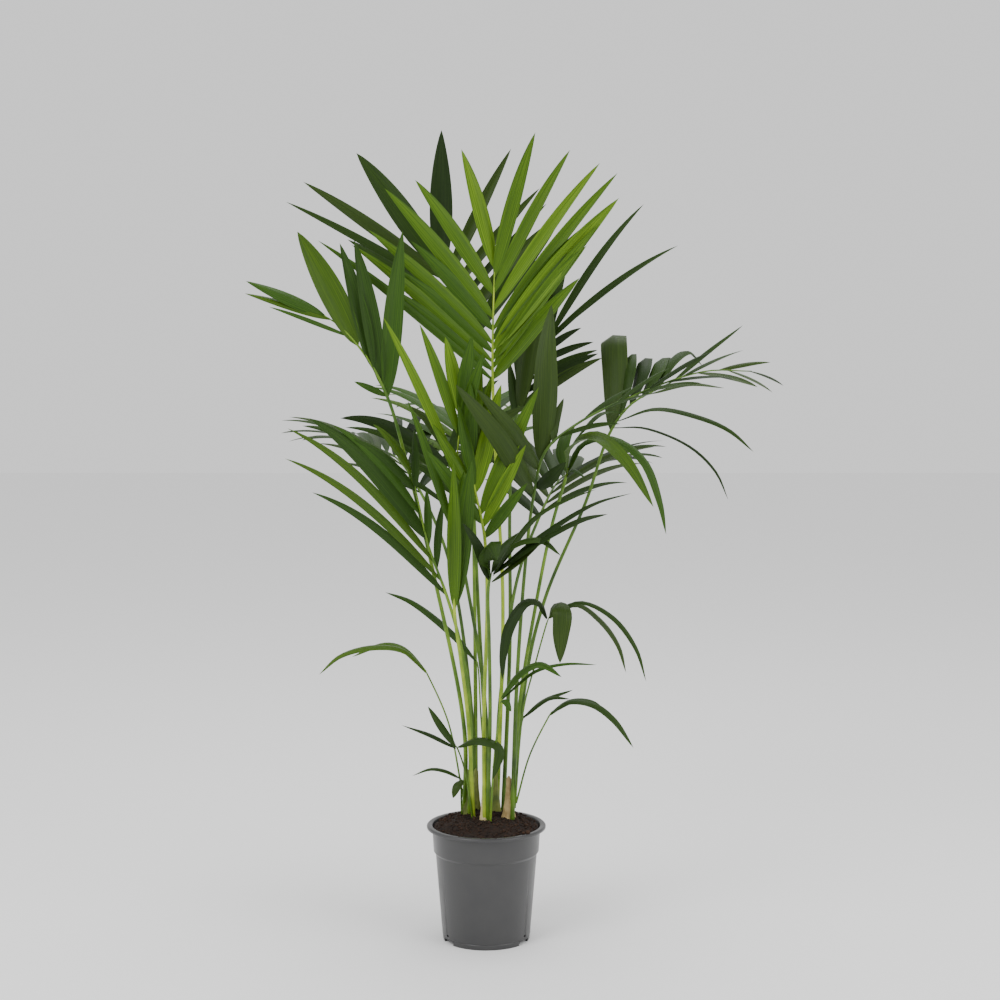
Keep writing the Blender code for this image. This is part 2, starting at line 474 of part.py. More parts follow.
# The pot: a turned shell with a rolled lip, a collar, a soft step, a tapered body and a hollow foot.
grey = material("pot_grey", (0.10, 0.10, 0.10), 0.45)
pot = turned("pot", (
    (0.0, FOOT_HEIGHT + WALL),
    (BASE_RADIUS - WALL, FOOT_HEIGHT + WALL),
    (BODY_TOP_RADIUS - WALL, COLLAR_FOOT - 0.002),
    (COLLAR_FOOT_RADIUS - WALL, COLLAR_FOOT + 0.002),
    (COLLAR_TOP_RADIUS - WALL, POT_HEIGHT - LIP_DEPTH),
    (COLLAR_TOP_RADIUS, POT_HEIGHT - 0.0008),
    (COLLAR_TOP_RADIUS + 0.002, POT_HEIGHT),
    (RIM_RADIUS - 0.002, POT_HEIGHT),
    (RIM_RADIUS, POT_HEIGHT - 0.002),
    (RIM_RADIUS - 0.0003, POT_HEIGHT - LIP_DEPTH),
    (RIM_RADIUS - 0.002, POT_HEIGHT - LIP_DEPTH - 0.0005),
    (COLLAR_TOP_RADIUS, POT_HEIGHT - LIP_DEPTH - 0.001),
    (COLLAR_FOOT_RADIUS, COLLAR_FOOT),
    (BODY_TOP_RADIUS, COLLAR_FOOT - 0.004),
    (BASE_RADIUS + 0.0006, FOOT_HEIGHT),
    (BASE_RADIUS, 0.0),
    (BASE_RADIUS - 0.003, 0.0),
    (BASE_RADIUS - 0.004, FOOT_HEIGHT - 0.001),
    (PAD_RADIUS, FOOT_HEIGHT - 0.001),
    (PAD_RADIUS - 0.001, 0.0),
    (0.0, 0.0),
), grey)
for angle in NOTCH_ANGLES:
    box = bmesh.new()
    bmesh.ops.create_cube(box, size=1)
    bmesh.ops.scale(box, vec=(0.016, NOTCH_WIDTH, 2 * (FOOT_HEIGHT - 0.0022)), verts=box.verts)
    bmesh.ops.translate(box, vec=(BASE_RADIUS - 0.0015, 0, 0), verts=box.verts)
    cutter_mesh = bpy.data.meshes.new("notch_%d" % angle)
    box.to_mesh(cutter_mesh)
    box.free()
    cutter = bpy.data.objects.new("notch_%d" % angle, cutter_mesh)
    cutter.rotation_euler.z = math.radians(angle)
    cutter.hide_render = True
    cutter.display_type = "WIRE"
    cutters.objects.link(cutter)
    cut = pot.modifiers.new("Notch", "BOOLEAN")
    cut.operation = "DIFFERENCE"
    cut.solver = "EXACT"
    cut.object = cutter

# The soil fills the pot to just under its rim and heaps a little above it, with a level top.
earth = material("soil_brown", (0.020, 0.014, 0.010), 0.95)
GAP = WALL + CLEAR
turned("soil", (
    (0.0, SOIL_TOP),
    (SOIL_PLATEAU, SOIL_TOP),
    (SOIL_PLATEAU + 0.014, SOIL_TOP - 0.005),
    (COLLAR_TOP_RADIUS - GAP - 0.0003, SOIL_EDGE),
    (COLLAR_FOOT_RADIUS - GAP, COLLAR_FOOT + 0.0024),
    (BODY_TOP_RADIUS - GAP, COLLAR_FOOT - 0.0016),
    (BASE_RADIUS - GAP, FOOT_HEIGHT + WALL + CLEAR),
    (0.0, FOOT_HEIGHT + WALL + CLEAR),
), earth)

for name, rear in REAR_FRONDS.items():
    FRONDS[name] = rear_frond(*rear)

# The stems stand on the soil, each with a flat top that carries its petioles in a ring.
sheath = material("stem_tan", (0.42, 0.36, 0.16), 0.6)
tops = {}
solid_trees = []
for name, (place_on_soil, height, lean, foot_radius, top_radius) in STEMS.items():
    foot = Vector((*place_on_soil, SOIL_TOP + CLEAR))
    top = foot + Vector((lean[0], lean[1], height))
    line = [foot, foot + Vector((0, 0, 0.003))]
    line += [foot.lerp(top, share) for share in (0.35, 0.65)]
    line += [top - Vector((0, 0, 0.003)), top]
    radii = [foot_radius + (top_radius - foot_radius) * share for share in (0, 0.03, 0.35, 0.65, 0.97, 1)]
    radii[2] = radii[3] = min(foot_radius, top_radius) * 0.88
    limb(name, line, radii, sheath, 3)
    solid_trees.append((name, name, tube_tree(line, [r + CLEAR for r in radii])))
    members = [key for key in FRONDS if FRONDS[key]["stem"] == name]
    bearing = {}
    for key in members:
        aim = Vector(FRONDS[key]["spine"][FRONDS[key]["knee"]]) - top
        bearing[key] = math.atan2(aim.y, aim.x)
    members.sort(key=lambda key: bearing[key])
    offset = sum(math.remainder(bearing[key] - math.tau * k / len(members), math.tau)
                 for k, key in enumerate(members)) / len(members)
    for k, key in enumerate(members):
        turn = math.tau * k / len(members) + offset
        ring = STEM_RING if len(members) > 3 else STEM_RING * 0.75
        tops[key] = top + Vector((math.cos(turn) * ring, math.sin(turn) * ring, 0.0005))

# Each petiole is one tapering limb, and carries the rib of its frond. Where it would touch another
# limb, its middle swings forwards or back by the least that clears it.
green = material("petiole_green", (0.22, 0.33, 0.07), 0.5)
ribs = {}
for key, frond in FRONDS.items():
    ribs[key] = smooth(frond["spine"][frond["knee"]:], RIB_CELLS + 1)
    radii = [(RIB_WIDTH / 2 + 2 * CLEAR) * (1 - 0.5 * k / RIB_CELLS) for k in range(RIB_CELLS + 1)]
    solid_trees.append((key, "rib", tube_tree(ribs[key], radii)))
for key, frond in FRONDS.items():
    small = key.startswith("small")
    start = tops[key]
    knee = Vector(frond["spine"][frond["knee"]])
    passing = [Vector(p) for p in frond["spine"][1:frond["knee"]] if p[2] > start.z + 0.035]
    below = passing[-1] if passing else start
    onward = unit(ribs[key][1] - ribs[key][0])
    end = knee - onward * (0.0012 if small else 0.0008)
    count = 5 if small else 7
    climb = smooth([start + Vector((0, 0, 0.004))] + passing + [end], count)
    big = SMALL_PETIOLE_RADIUS if small else PETIOLE_RADIUS
    thin = SMALL_PETIOLE_RADIUS * 0.85 if small else PETIOLE_TOP_RADIUS
    radii = [big + (thin - big) * k / count for k in range(count + 1)]
    best = None
    for reach in range(0, 16):
        for turn in range(1 if reach == 0 else 8):
            swing = Vector((math.sin(math.tau * turn / 8) * 0.5, math.cos(math.tau * turn / 8), 0)) * reach * 0.004
            line = [start]
            for k, p in enumerate(climb):
                line.append(p + swing * math.sin(math.pi * k / (count - 1)) ** 0.7)
            tree = tube_tree(line, [r + CLEAR for r in radii])
            clear = True
            for other, kind, one in solid_trees:
                if other == key or (kind == frond["stem"]):
                    continue
                if tree.overlap(one):
                    clear = False
                    break
            if clear:
                best = (line, tree)
                break
        if best:
            break
    if not best:
        raise ValueError("no clear way for the petiole of " + key)
    line, tree = best
    limb("petiole_" + key.replace("frond_", ""), line, radii, green, 1)
    solid_trees.append((key, "petiole", tree))

# The rib is a flat strip. Its cells that carry a leaflet, one to a side, are known first.
plans = {}
for key, frond in FRONDS.items():
    line = ribs[key]
    face = Vector(frond["face"])
    if (line[-1] - line[0]).length < 0.03:
        line = [line[0].lerp(line[-1], k / 8) for k in range(9)]
        ribs[key] = line
    cells = len(line) - 1
    taken = {1: {}, -1: {}}
    wanted = [(item[0], item[1], item) for item in frond.get("leaflets", ())]
    for item in frond.get("straps", ()):
        share = 0.5
        nearest = min(range(cells), key=lambda k: (line[k] - Vector(item[1])).length)
        d = unit(line[min(nearest + 1, cells)] - line[max(nearest - 1, 0)])
        outwards = Vector(item[2]) - line[nearest]
        side = 1 if d.cross(face).dot(outwards) > 0 else -1
        wanted.append((side, (nearest + 0.5) / cells, item))
    for side, share, item in wanted:
        cell = min(max(int(share * cells), 0), cells - 1)
        free = [k for k in range(cells) if k not in taken[side]]
        if not free:
            side = -side
            free = [k for k in range(cells) if k not in taken[side]]
        taken[side][min(free, key=lambda k: abs(k - cell))] = item
    edges = []
    for k, p in enumerate(line):
        d = unit(line[min(k + 1, cells)] - line[max(k - 1, 0)])
        n = unit(face - face.dot(d) * d)
        across = d.cross(n)
        half = RIB_WIDTH / 2 * (1 - 0.6 * k / cells)
        edges.append((p - across * half, p + across * half))
    used = sorted({0, cells} | {k for side in taken.values() for cell in side for k in (cell, cell + 1)})
    plans[key] = (line, taken, edges, used)

# A leaflet that would run into another frond, a stem or a petiole is cut short, or left out.
leaf = material("leaf_green", (0.10, 0.19, 0.04), 0.45)
leaflet_trees = []
for key, (line, taken, edges, used) in plans.items():
    frond = FRONDS[key]
    shape = bmesh.new()
    rows_of_rib = {}
    for k in used:
        rows_of_rib[k] = [shape.verts.new(edges[k][0]), shape.verts.new(edges[k][1])]
    for a, b in zip(used, used[1:]):
        shape.faces.new((rows_of_rib[a][0], rows_of_rib[a][1], rows_of_rib[b][1], rows_of_rib[b][0]))
    own = []
    for side in (1, -1):
        column = 1 if side == 1 else 0
        for cell, item in sorted(taken[side].items()):
            base = (edges[cell][column], edges[cell + 1][column])
            found = None
            for own_too, keep, nudge in TRIES:
                if not isinstance(item[1], tuple):
                    width = item[4]
                    centres, crosses = leaflet_lines(line, frond, item, nudge)
                else:
                    width = item[0]
                    centres, crosses = strap_lines(item, frond, nudge)
                    if crosses[2].dot(base[1] - base[0]) < 0:
                        crosses = [-c for c in crosses]
                rows, tip = outline(centres, crosses, width, keep, CLEAR)
                tree = thick_tree(rows, tip, base, BLADE / 2 + CLEAR)
                start = outline(centres, crosses, width * 0.9, 0.16 * keep, 0)[0][1]
                free = thick_tree(rows, tip, start, BLADE / 2)
                hit = any(other != key and tree.overlap(one) for other, kind, one in solid_trees)
                hit = hit or any(other != key and tree.overlap(one) for other, one in leaflet_trees)
                hit = hit or (own_too and any(free.overlap(one) for one in own))
                for other, kind, one in solid_trees:
                    if other == key and kind == "petiole" and tree.overlap(one):
                        hit = True
                    if own_too and other == key and kind == "rib" and free.overlap(one):
                        hit = True
                if not hit:
                    found = (centres, crosses, width, keep)
                    break
            if not found:
                continue
            centres, crosses, width, keep = found
            own.append(free)
            leaflet_trees.append((key, tree))
            rows, tip = outline(centres, crosses, width, keep, 0)
            before = (rows_of_rib[cell][column], rows_of_rib[cell + 1][column])
            for row in rows:
                pair = (shape.verts.new(row[0]), shape.verts.new(row[1]))
                shape.faces.new((before[0], before[1], pair[1], pair[0]))
                before = pair
            shape.faces.new((before[0], before[1], shape.verts.new(tip)))
    bmesh.ops.recalc_face_normals(shape, faces=shape.faces)
    mesh = bpy.data.meshes.new("blade_" + key.replace("frond_", ""))
    shape.to_mesh(mesh)
    shape.free()
    mesh.materials.append(leaf)
    blade = bpy.data.objects.new(mesh.name, mesh)
    parts.objects.link(blade)
    solid = blade.modifiers.new("Thickness", "SOLIDIFY")
    solid.thickness = BLADE
    solid.offset = 0
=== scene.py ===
import math
import random

import bmesh
import bpy
from mathutils import Matrix, Vector, noise


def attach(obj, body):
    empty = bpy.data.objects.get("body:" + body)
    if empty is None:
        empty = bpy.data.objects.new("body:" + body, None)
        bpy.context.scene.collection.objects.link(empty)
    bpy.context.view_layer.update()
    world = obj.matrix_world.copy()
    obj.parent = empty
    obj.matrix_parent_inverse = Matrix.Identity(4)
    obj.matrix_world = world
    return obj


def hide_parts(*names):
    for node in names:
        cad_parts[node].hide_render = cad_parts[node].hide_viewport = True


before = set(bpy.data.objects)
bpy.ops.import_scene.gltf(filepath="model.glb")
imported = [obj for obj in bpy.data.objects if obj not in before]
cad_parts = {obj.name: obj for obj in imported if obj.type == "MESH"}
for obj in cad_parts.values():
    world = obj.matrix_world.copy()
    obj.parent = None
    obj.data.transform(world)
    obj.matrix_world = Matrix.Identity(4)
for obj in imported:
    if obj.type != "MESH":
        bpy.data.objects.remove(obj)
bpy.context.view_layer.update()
print("frame loaded,", len(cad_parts), "nodes")

soilTop = 0.181  # metres, the level that the stems stand on
weld = 0.00002  # points closer than this are merged

# stems: place on the soil, height, radius at the soil and at the top, tint
stems = {
    "stem_left": ((-0.030, 0.024), 0.075, 0.0105, 0.0034, "green"),
    "stem_middle": ((-0.003, -0.012), 0.060, 0.0085, 0.0034, "cream"),
    "stem_rear": ((0.013, 0.036), 0.080, 0.0120, 0.0036, "green"),
    "stem_right": ((0.034, 0.002), 0.068, 0.0135, 0.0036, "tan"),
    "stem_back": ((-0.016, 0.046), 0.070, 0.0100, 0.0034, "green"),
}

# Each frond: the way its face looks, the lift and droop of its leaflets in degrees, its spine's
# points in metres, and knee, the number of the point where its rib starts. A leaflet is its side,
# place along the rib, spread in degrees, length and width. A strap is an arched leaflet: its width,
# then its points.
fronds = {
    "frond_centre": dict(
        face=(0, -1, 0.1), lift=12, droop=8, knee=3,
        spine=(
            (0.016, 0.040, 0.184), (0.025, 0.035, 0.512), (0.016, 0.030, 0.694), (0.010, 0.020, 0.837),
            (0.010, 0.015, 0.911), (0.013, 0.010, 1.019)),
        leaflets=(
            (1, 0.88, 12, 0.220, 0.022), (1, 0.75, 24, 0.237, 0.019), (1, 0.61, 32, 0.267, 0.019),
            (1, 0.45, 35, 0.295, 0.019), (1, 0.29, 37, 0.292, 0.030), (1, 0.14, 34, 0.267, 0.020),
            (-1, 0.95, 15, 0.180, 0.023), (-1, 0.74, 34, 0.204, 0.023), (-1, 0.55, 39, 0.249, 0.024),
            (-1, 0.34, 45, 0.250, 0.021), (-1, 0.19, 47, 0.273, 0.019), (-1, 0.04, 48, 0.333, 0.015),
            (1, 0.37, 36, 0.220, 0.021), (1, 0.21, 37, 0.220, 0.023), (1, 0.05, 38, 0.200, 0.024),
            (-1, 0.27, 46, 0.190, 0.021), (-1, 0.45, 41, 0.180, 0.022), (-1, 0.12, 48, 0.200, 0.019))),
    "frond_back": dict(
        face=(0, -1, 0.1), lift=8, droop=5, knee=3,
        spine=(
            (0.007, 0.050, 0.181), (-0.010, 0.090, 0.441), (-0.022, 0.120, 0.686),
            (-0.032, 0.140, 0.885), (-0.061, 0.150, 0.985), (-0.072, 0.150, 1.020)),
        leaflets=(
            (1, 0.94, 18, 0.209, 0.036), (-1, 0.91, 17, 0.221, 0.037), (-1, 0.80, 37, 0.263, 0.021),
            (-1, 0.69, 44, 0.282, 0.013), (1, 0.78, 42, 0.226, 0.019), (1, 0.65, 56, 0.212, 0.016),
            (1, 0.46, 56, 0.216, 0.012), (-1, 0.17, 32, 0.160, 0.019), (1, 0.06, 53, 0.225, 0.024),
            (1, 0.27, 55, 0.200, 0.020), (-1, 0.32, 36, 0.180, 0.021), (-1, 0.52, 41, 0.190, 0.018))),
    "frond_left": dict(
        face=(0.3, -1, 0.3), lift=10, droop=5, knee=4,
        spine=(
            (-0.034, 0.026, 0.186), (-0.033, 0.000, 0.321), (-0.077, -0.030, 0.559),
            (-0.118, -0.050, 0.737), (-0.142, -0.060, 0.822), (-0.174, -0.065, 0.884),
            (-0.213, -0.070, 0.928), (-0.241, -0.070, 0.946)),
        leaflets=(
            (1, 0.01, 31, 0.242, 0.030), (1, 0.12, 17, 0.214, 0.027), (1, 0.30, 15, 0.185, 0.025),
            (1, 0.54, 14, 0.184, 0.037), (1, 0.93, -9, 0.124, 0.019), (-1, 0.88, 17, 0.127, 0.013),
            (-1, 0.02, 40, 0.055, 0.010), (-1, 0.64, 28, 0.128, 0.007))),
    "frond_right_back": dict(
        face=(-0.3, -1, 0.4), lift=5, droop=15, knee=3,
        spine=(
            (0.025, 0.040, 0.184), (0.036, 0.080, 0.443), (0.036, 0.110, 0.656), (0.042, 0.120, 0.771),
            (0.067, 0.130, 0.840), (0.096, 0.140, 0.905)),
        leaflets=(
            (-1, 0.96, -10, 0.256, 0.013), (1, 0.99, 28, 0.244, 0.012), (1, 0.91, 24, 0.223, 0.007),
            (1, 0.80, 30, 0.075, 0.013), (1, 0.69, 44, 0.096, 0.012), (1, 0.51, 43, 0.116, 0.012),
            (-1, 0.85, 14, 0.178, 0.021), (-1, 0.51, 19, 0.207, 0.019), (-1, 0.06, 25, 0.096, 0.015),
            (1, 0.20, 38, 0.150, 0.018), (1, 0.36, 40, 0.130, 0.016), (-1, 0.28, 24, 0.160, 0.020),
            (-1, 0.68, 18, 0.190, 0.019), (-1, 0.38, 12, 0.240, 0.030), (-1, 0.16, 8, 0.230, 0.032))),
    "frond_low_left": dict(
        face=(0.2, -1, 0.4), lift=10, droop=25, knee=3,
        spine=(
            (-0.026, 0.020, 0.187), (-0.024, -0.010, 0.339), (-0.036, -0.035, 0.448),
            (-0.057, -0.050, 0.529), (-0.084, -0.060, 0.607), (-0.097, -0.065, 0.666),
            (-0.108, -0.070, 0.718)),
        leaflets=(
            (-1, 0.02, 23, 0.265, 0.014), (-1, 0.14, 22, 0.307, 0.013), (-1, 0.29, 19, 0.304, 0.014),
            (-1, 0.47, 21, 0.257, 0.027), (-1, 0.65, 24, 0.194, 0.014), (-1, 0.84, 29, 0.126, 0.014),
            (-1, 0.98, 18, 0.095, 0.013), (1, 0.42, 16, 0.088, 0.012), (1, 0.23, 22, 0.108, 0.012),
            (1, 0.85, 9, 0.100, 0.013))),
    "frond_dark_left": dict(
        face=(0.2, -1, 0.6), lift=5, droop=40, knee=3,
        spine=(
            (0.004, 0.045, 0.182), (-0.004, 0.050, 0.371), (-0.031, 0.060, 0.539),
            (-0.052, 0.065, 0.645), (-0.058, 0.070, 0.721), (-0.067, 0.070, 0.751)),
        leaflets=(
            (-1, 0.62, 45, 0.188, 0.021), (-1, 0.82, 11, 0.096, 0.013), (-1, 0.24, 39, 0.083, 0.013),
            (-1, 0.02, 48, 0.150, 0.008), (-1, 0.42, 46, 0.185, 0.013), (1, 0.20, 42, 0.150, 0.021),
            (1, 0.45, 38, 0.170, 0.021), (1, 0.70, 30, 0.150, 0.020))),
    "frond_arch": dict(
        face=(-0.2, -0.5, 1), lift=10, droop=15, knee=3, strapFace=(0, -1, 0.3),
        spine=(
            (0.039, -0.010, 0.187), (0.046, -0.030, 0.403), (0.059, -0.050, 0.590),
            (0.070, -0.060, 0.681), (0.086, -0.065, 0.744), (0.129, -0.070, 0.783),
            (0.223, -0.070, 0.830), (0.317, -0.070, 0.861), (0.384, -0.070, 0.861)),
        leaflets=(
            (1, 0.99, 41, 0.062, 0.007), (1, 0.91, 50, 0.092, 0.008), (1, 0.80, 49, 0.114, 0.012),
            (1, 0.68, 30, 0.105, 0.012), (1, 0.56, 20, 0.100, 0.012), (1, 0.42, 15, 0.095, 0.012),
            (1, 0.24, 42, 0.126, 0.013), (-1, 0.35, 14, 0.090, 0.012), (-1, 0.48, 9, 0.095, 0.012),
            (-1, 0.61, 6, 0.108, 0.012), (-1, 0.74, 12, 0.100, 0.011), (-1, 0.88, 16, 0.080, 0.010)),
        straps=(
            (0.030, (0.069, -0.060, 0.682), (0.018, -0.145, 0.772), (-0.041, -0.195, 0.848)),
            (0.023, (0.077, -0.060, 0.717), (0.037, -0.135, 0.781), (-0.012, -0.175, 0.841)),
            (0.036, (0.080, -0.062, 0.729), (0.086, -0.055, 0.819), (0.089, -0.045, 0.898),
             (0.096, -0.030, 0.957)),
            (0.013, (0.098, -0.065, 0.757), (0.102, -0.050, 0.789), (0.114, -0.030, 0.820)),
            (0.021, (0.073, -0.060, 0.691), (0.093, -0.085, 0.708), (0.115, -0.100, 0.732)))),
    "frond_front_left": dict(
        face=(0, -1, 0.1), lift=10, droop=6, knee=3,
        spine=(
            (-0.019, 0.005, 0.183), (-0.027, -0.030, 0.343), (-0.037, -0.060, 0.437),
            (-0.045, -0.085, 0.508), (-0.048, -0.100, 0.619), (-0.042, -0.110, 0.721),
            (-0.035, -0.115, 0.808)),
        leaflets=(
            (-1, 0.03, -2, 0.244, 0.021), (1, 0.04, 8, 0.238, 0.030), (-1, 0.71, 27, 0.245, 0.015),
            (-1, 0.88, 22, 0.169, 0.016), (-1, 0.98, 14, 0.113, 0.021), (1, 0.98, 3, 0.119, 0.022),
            (1, 0.86, 10, 0.134, 0.019), (1, 0.38, 8, 0.109, 0.013), (-1, 0.42, 18, 0.202, 0.014))),
    "frond_inner": dict(
        face=(0.2, -1, 0.1), lift=10, droop=4, knee=3,
        spine=(
            (-0.002, -0.012, 0.185), (-0.003, -0.050, 0.347), (0.002, -0.085, 0.530),
            (-0.001, -0.100, 0.619), (-0.007, -0.105, 0.656), (-0.017, -0.110, 0.704),
            (-0.022, -0.110, 0.743)),
        leaflets=(
            (1, 0.31, 34, 0.202, 0.025), (1, 0.16, 35, 0.135, 0.019), (1, 0.03, 45, 0.101, 0.018),
            (1, 0.57, 24, 0.160, 0.024), (1, 0.78, 17, 0.143, 0.021), (-1, 0.94, -4, 0.116, 0.021),
            (-1, 0.64, 2, 0.130, 0.018), (1, 0.95, 10, 0.150, 0.021), (-1, 0.20, 26, 0.140, 0.021),
            (-1, 0.42, 16, 0.140, 0.020))),
    "frond_front_dark": dict(
        face=(-0.1, -0.5, 1), knee=3,
        spine=(
            (0.001, -0.012, 0.188), (0.006, -0.060, 0.349), (0.005, -0.100, 0.474),
            (0.004, -0.125, 0.553), (0.009, -0.135, 0.578)),
        straps=(
            (0.018, (0.006, -0.130, 0.565), (-0.011, -0.140, 0.617), (-0.032, -0.145, 0.649)),
            (0.030, (0.006, -0.130, 0.568), (0.004, -0.165, 0.612), (0.011, -0.200, 0.627),
             (0.017, -0.230, 0.607)),
            (0.018, (0.011, -0.135, 0.573), (0.038, -0.160, 0.618), (0.078, -0.180, 0.629),
             (0.106, -0.190, 0.608)),
            (0.015, (0.011, -0.135, 0.575), (0.070, -0.140, 0.657), (0.117, -0.145, 0.683),
             (0.158, -0.150, 0.698)),
            (0.019, (0.012, -0.137, 0.577), (0.084, -0.170, 0.639), (0.153, -0.190, 0.682),
             (0.204, -0.200, 0.697)),
            (0.018, (0.012, -0.137, 0.575), (0.077, -0.180, 0.628), (0.134, -0.210, 0.661),
             (0.170, -0.220, 0.670)),
            (0.019, (0.009, -0.130, 0.563), (0.043, -0.150, 0.594), (0.084, -0.155, 0.633),
             (0.100, -0.150, 0.651)),
            (0.015, (0.009, -0.130, 0.577), (0.028, -0.120, 0.615), (0.059, -0.115, 0.639)))),
    "frond_low_right": dict(
        face=(0.1, -0.5, 1), knee=4,
        spine=(
            (0.036, 0.000, 0.182), (0.051, -0.010, 0.367), (0.071, -0.025, 0.498),
            (0.096, -0.040, 0.630), (0.116, -0.050, 0.702), (0.120, -0.052, 0.719)),
        straps=(
            (0.030, (0.117, -0.050, 0.707), (0.123, -0.075, 0.752), (0.155, -0.100, 0.768),
             (0.198, -0.130, 0.735), (0.238, -0.150, 0.672)),
            (0.018, (0.119, -0.050, 0.713), (0.140, -0.060, 0.755), (0.183, -0.070, 0.764),
             (0.227, -0.085, 0.734), (0.251, -0.095, 0.674), (0.260, -0.100, 0.627)),
            (0.010, (0.117, -0.050, 0.705), (0.127, -0.060, 0.717), (0.144, -0.075, 0.707)),
            (0.019, (0.117, -0.050, 0.715), (0.112, -0.030, 0.741), (0.118, -0.010, 0.763),
             (0.132, 0.020, 0.777)))),
    "frond_right": dict(
        face=(-0.3, -0.4, 1), knee=4,
        spine=(
            (0.037, 0.010, 0.179), (0.062, 0.030, 0.406), (0.090, 0.035, 0.518), (0.151, 0.050, 0.661),
            (0.187, 0.060, 0.764), (0.217, 0.060, 0.805), (0.262, 0.060, 0.831),
            (0.295, 0.060, 0.847)),
        straps=(
            (0.042, (0.188, 0.060, 0.767), (0.194, 0.085, 0.842), (0.194, 0.120, 0.904),
             (0.202, 0.190, 0.881), (0.211, 0.230, 0.827)),
            (0.018, (0.202, 0.060, 0.787), (0.218, 0.080, 0.857), (0.222, 0.110, 0.879),
             (0.229, 0.160, 0.857)),
            (0.025, (0.217, 0.060, 0.805), (0.236, 0.080, 0.854), (0.243, 0.115, 0.872),
             (0.254, 0.170, 0.857)),
            (0.025, (0.235, 0.060, 0.816), (0.258, 0.075, 0.856), (0.269, 0.105, 0.873),
             (0.285, 0.150, 0.857)),
            (0.019, (0.254, 0.060, 0.826), (0.281, 0.080, 0.869), (0.307, 0.100, 0.884),
             (0.335, 0.130, 0.858)),
            (0.015, (0.280, 0.060, 0.840), (0.329, 0.060, 0.883), (0.385, 0.055, 0.925)),
            (0.012, (0.198, 0.055, 0.781), (0.252, 0.030, 0.801), (0.318, 0.010, 0.789),
             (0.361, 0.000, 0.770), (0.396, -0.010, 0.739)),
            (0.007, (0.193, 0.055, 0.771), (0.238, 0.030, 0.772), (0.304, 0.020, 0.745),
             (0.342, 0.010, 0.708), (0.360, 0.000, 0.667)),
            (0.012, (0.246, 0.055, 0.822), (0.304, 0.030, 0.838), (0.354, 0.010, 0.833)),
            (0.013, (0.209, 0.055, 0.795), (0.170, 0.020, 0.794), (0.132, 0.000, 0.757)))),
    "small_high": dict(
        face=(0, -0.6, 1), knee=3,
        spine=(
            (0.043, -0.010, 0.215), (0.055, -0.050, 0.359), (0.073, -0.075, 0.437),
            (0.089, -0.090, 0.498), (0.092, -0.091, 0.506)),
        straps=(
            (0.018, (0.089, -0.090, 0.503), (0.076, -0.095, 0.528), (0.058, -0.100, 0.529),
             (0.035, -0.105, 0.496), (0.025, -0.110, 0.452), (0.024, -0.110, 0.417)),
            (0.028, (0.092, -0.090, 0.504), (0.103, -0.100, 0.525), (0.110, -0.115, 0.517),
             (0.108, -0.120, 0.484), (0.107, -0.120, 0.443)),
            (0.013, (0.093, -0.090, 0.507), (0.131, -0.080, 0.523), (0.167, -0.070, 0.498),
             (0.194, -0.065, 0.460), (0.206, -0.060, 0.418)),
            (0.009, (0.093, -0.090, 0.509), (0.136, -0.100, 0.529), (0.182, -0.110, 0.509),
             (0.216, -0.120, 0.465), (0.231, -0.125, 0.417)))),
    "small_left": dict(
        face=(0, -0.4, 1), knee=2,
        spine=(
            (-0.035, 0.020, 0.223), (-0.057, -0.005, 0.333), (-0.088, -0.030, 0.412),
            (-0.092, -0.032, 0.420)),
        straps=(
            (0.015, (-0.088, -0.030, 0.412), (-0.120, -0.040, 0.447), (-0.163, -0.050, 0.455),
             (-0.214, -0.060, 0.443), (-0.245, -0.065, 0.416)),
            (0.013, (-0.089, -0.030, 0.415), (-0.125, -0.020, 0.448), (-0.154, -0.010, 0.452),
             (-0.201, 0.000, 0.431)))),
    "small_front": dict(
        face=(0, -0.7, 1), knee=2,
        spine=(
            (-0.020, 0.000, 0.194), (-0.032, -0.020, 0.263), (-0.043, -0.035, 0.300),
            (-0.046, -0.037, 0.305)),
        straps=(
            (0.013, (-0.045, -0.036, 0.302), (-0.067, -0.040, 0.334), (-0.086, -0.045, 0.365)),
            (0.010, (-0.045, -0.036, 0.300), (-0.083, -0.050, 0.323), (-0.125, -0.055, 0.339)),
            (0.018, (-0.042, -0.037, 0.302), (-0.012, -0.055, 0.316), (0.019, -0.065, 0.307),
             (0.010, -0.070, 0.260)))),
    "small_right": dict(
        face=(0, -0.5, 1), knee=2,
        spine=(
            (0.045, -0.012, 0.223), (0.065, -0.030, 0.288), (0.093, -0.050, 0.351),
            (0.097, -0.051, 0.358)),
        straps=(
            (0.013, (0.095, -0.050, 0.353), (0.121, -0.060, 0.374), (0.156, -0.070, 0.373),
             (0.187, -0.080, 0.352), (0.216, -0.090, 0.312)),
            (0.012, (0.096, -0.050, 0.356), (0.127, -0.040, 0.372), (0.162, -0.030, 0.368),
             (0.185, -0.025, 0.343)))),
    "small_grey": dict(
        face=(0, -0.5, 1), knee=2,
        spine=(
            (0.036, 0.020, 0.189), (0.048, 0.010, 0.287), (0.055, 0.000, 0.337),
            (0.057, -0.001, 0.341)),
        straps=(
            (0.009, (0.055, 0.000, 0.338), (0.088, 0.010, 0.363), (0.131, 0.020, 0.377)),
            (0.009, (0.055, 0.000, 0.340), (0.095, -0.020, 0.372), (0.125, -0.030, 0.373)))),
    "small_middle": dict(
        face=(0, -0.5, 1), knee=2,
        spine=(
            (0.006, -0.020, 0.190), (0.012, -0.050, 0.285), (0.022, -0.080, 0.378),
            (0.024, -0.082, 0.386)),
        straps=(
            (0.016, (0.022, -0.080, 0.384), (0.050, -0.090, 0.423), (0.079, -0.100, 0.438),
             (0.110, -0.110, 0.421)),
            (0.007, (0.024, -0.080, 0.383), (0.072, -0.075, 0.423), (0.116, -0.070, 0.433),
             (0.163, -0.060, 0.430)),
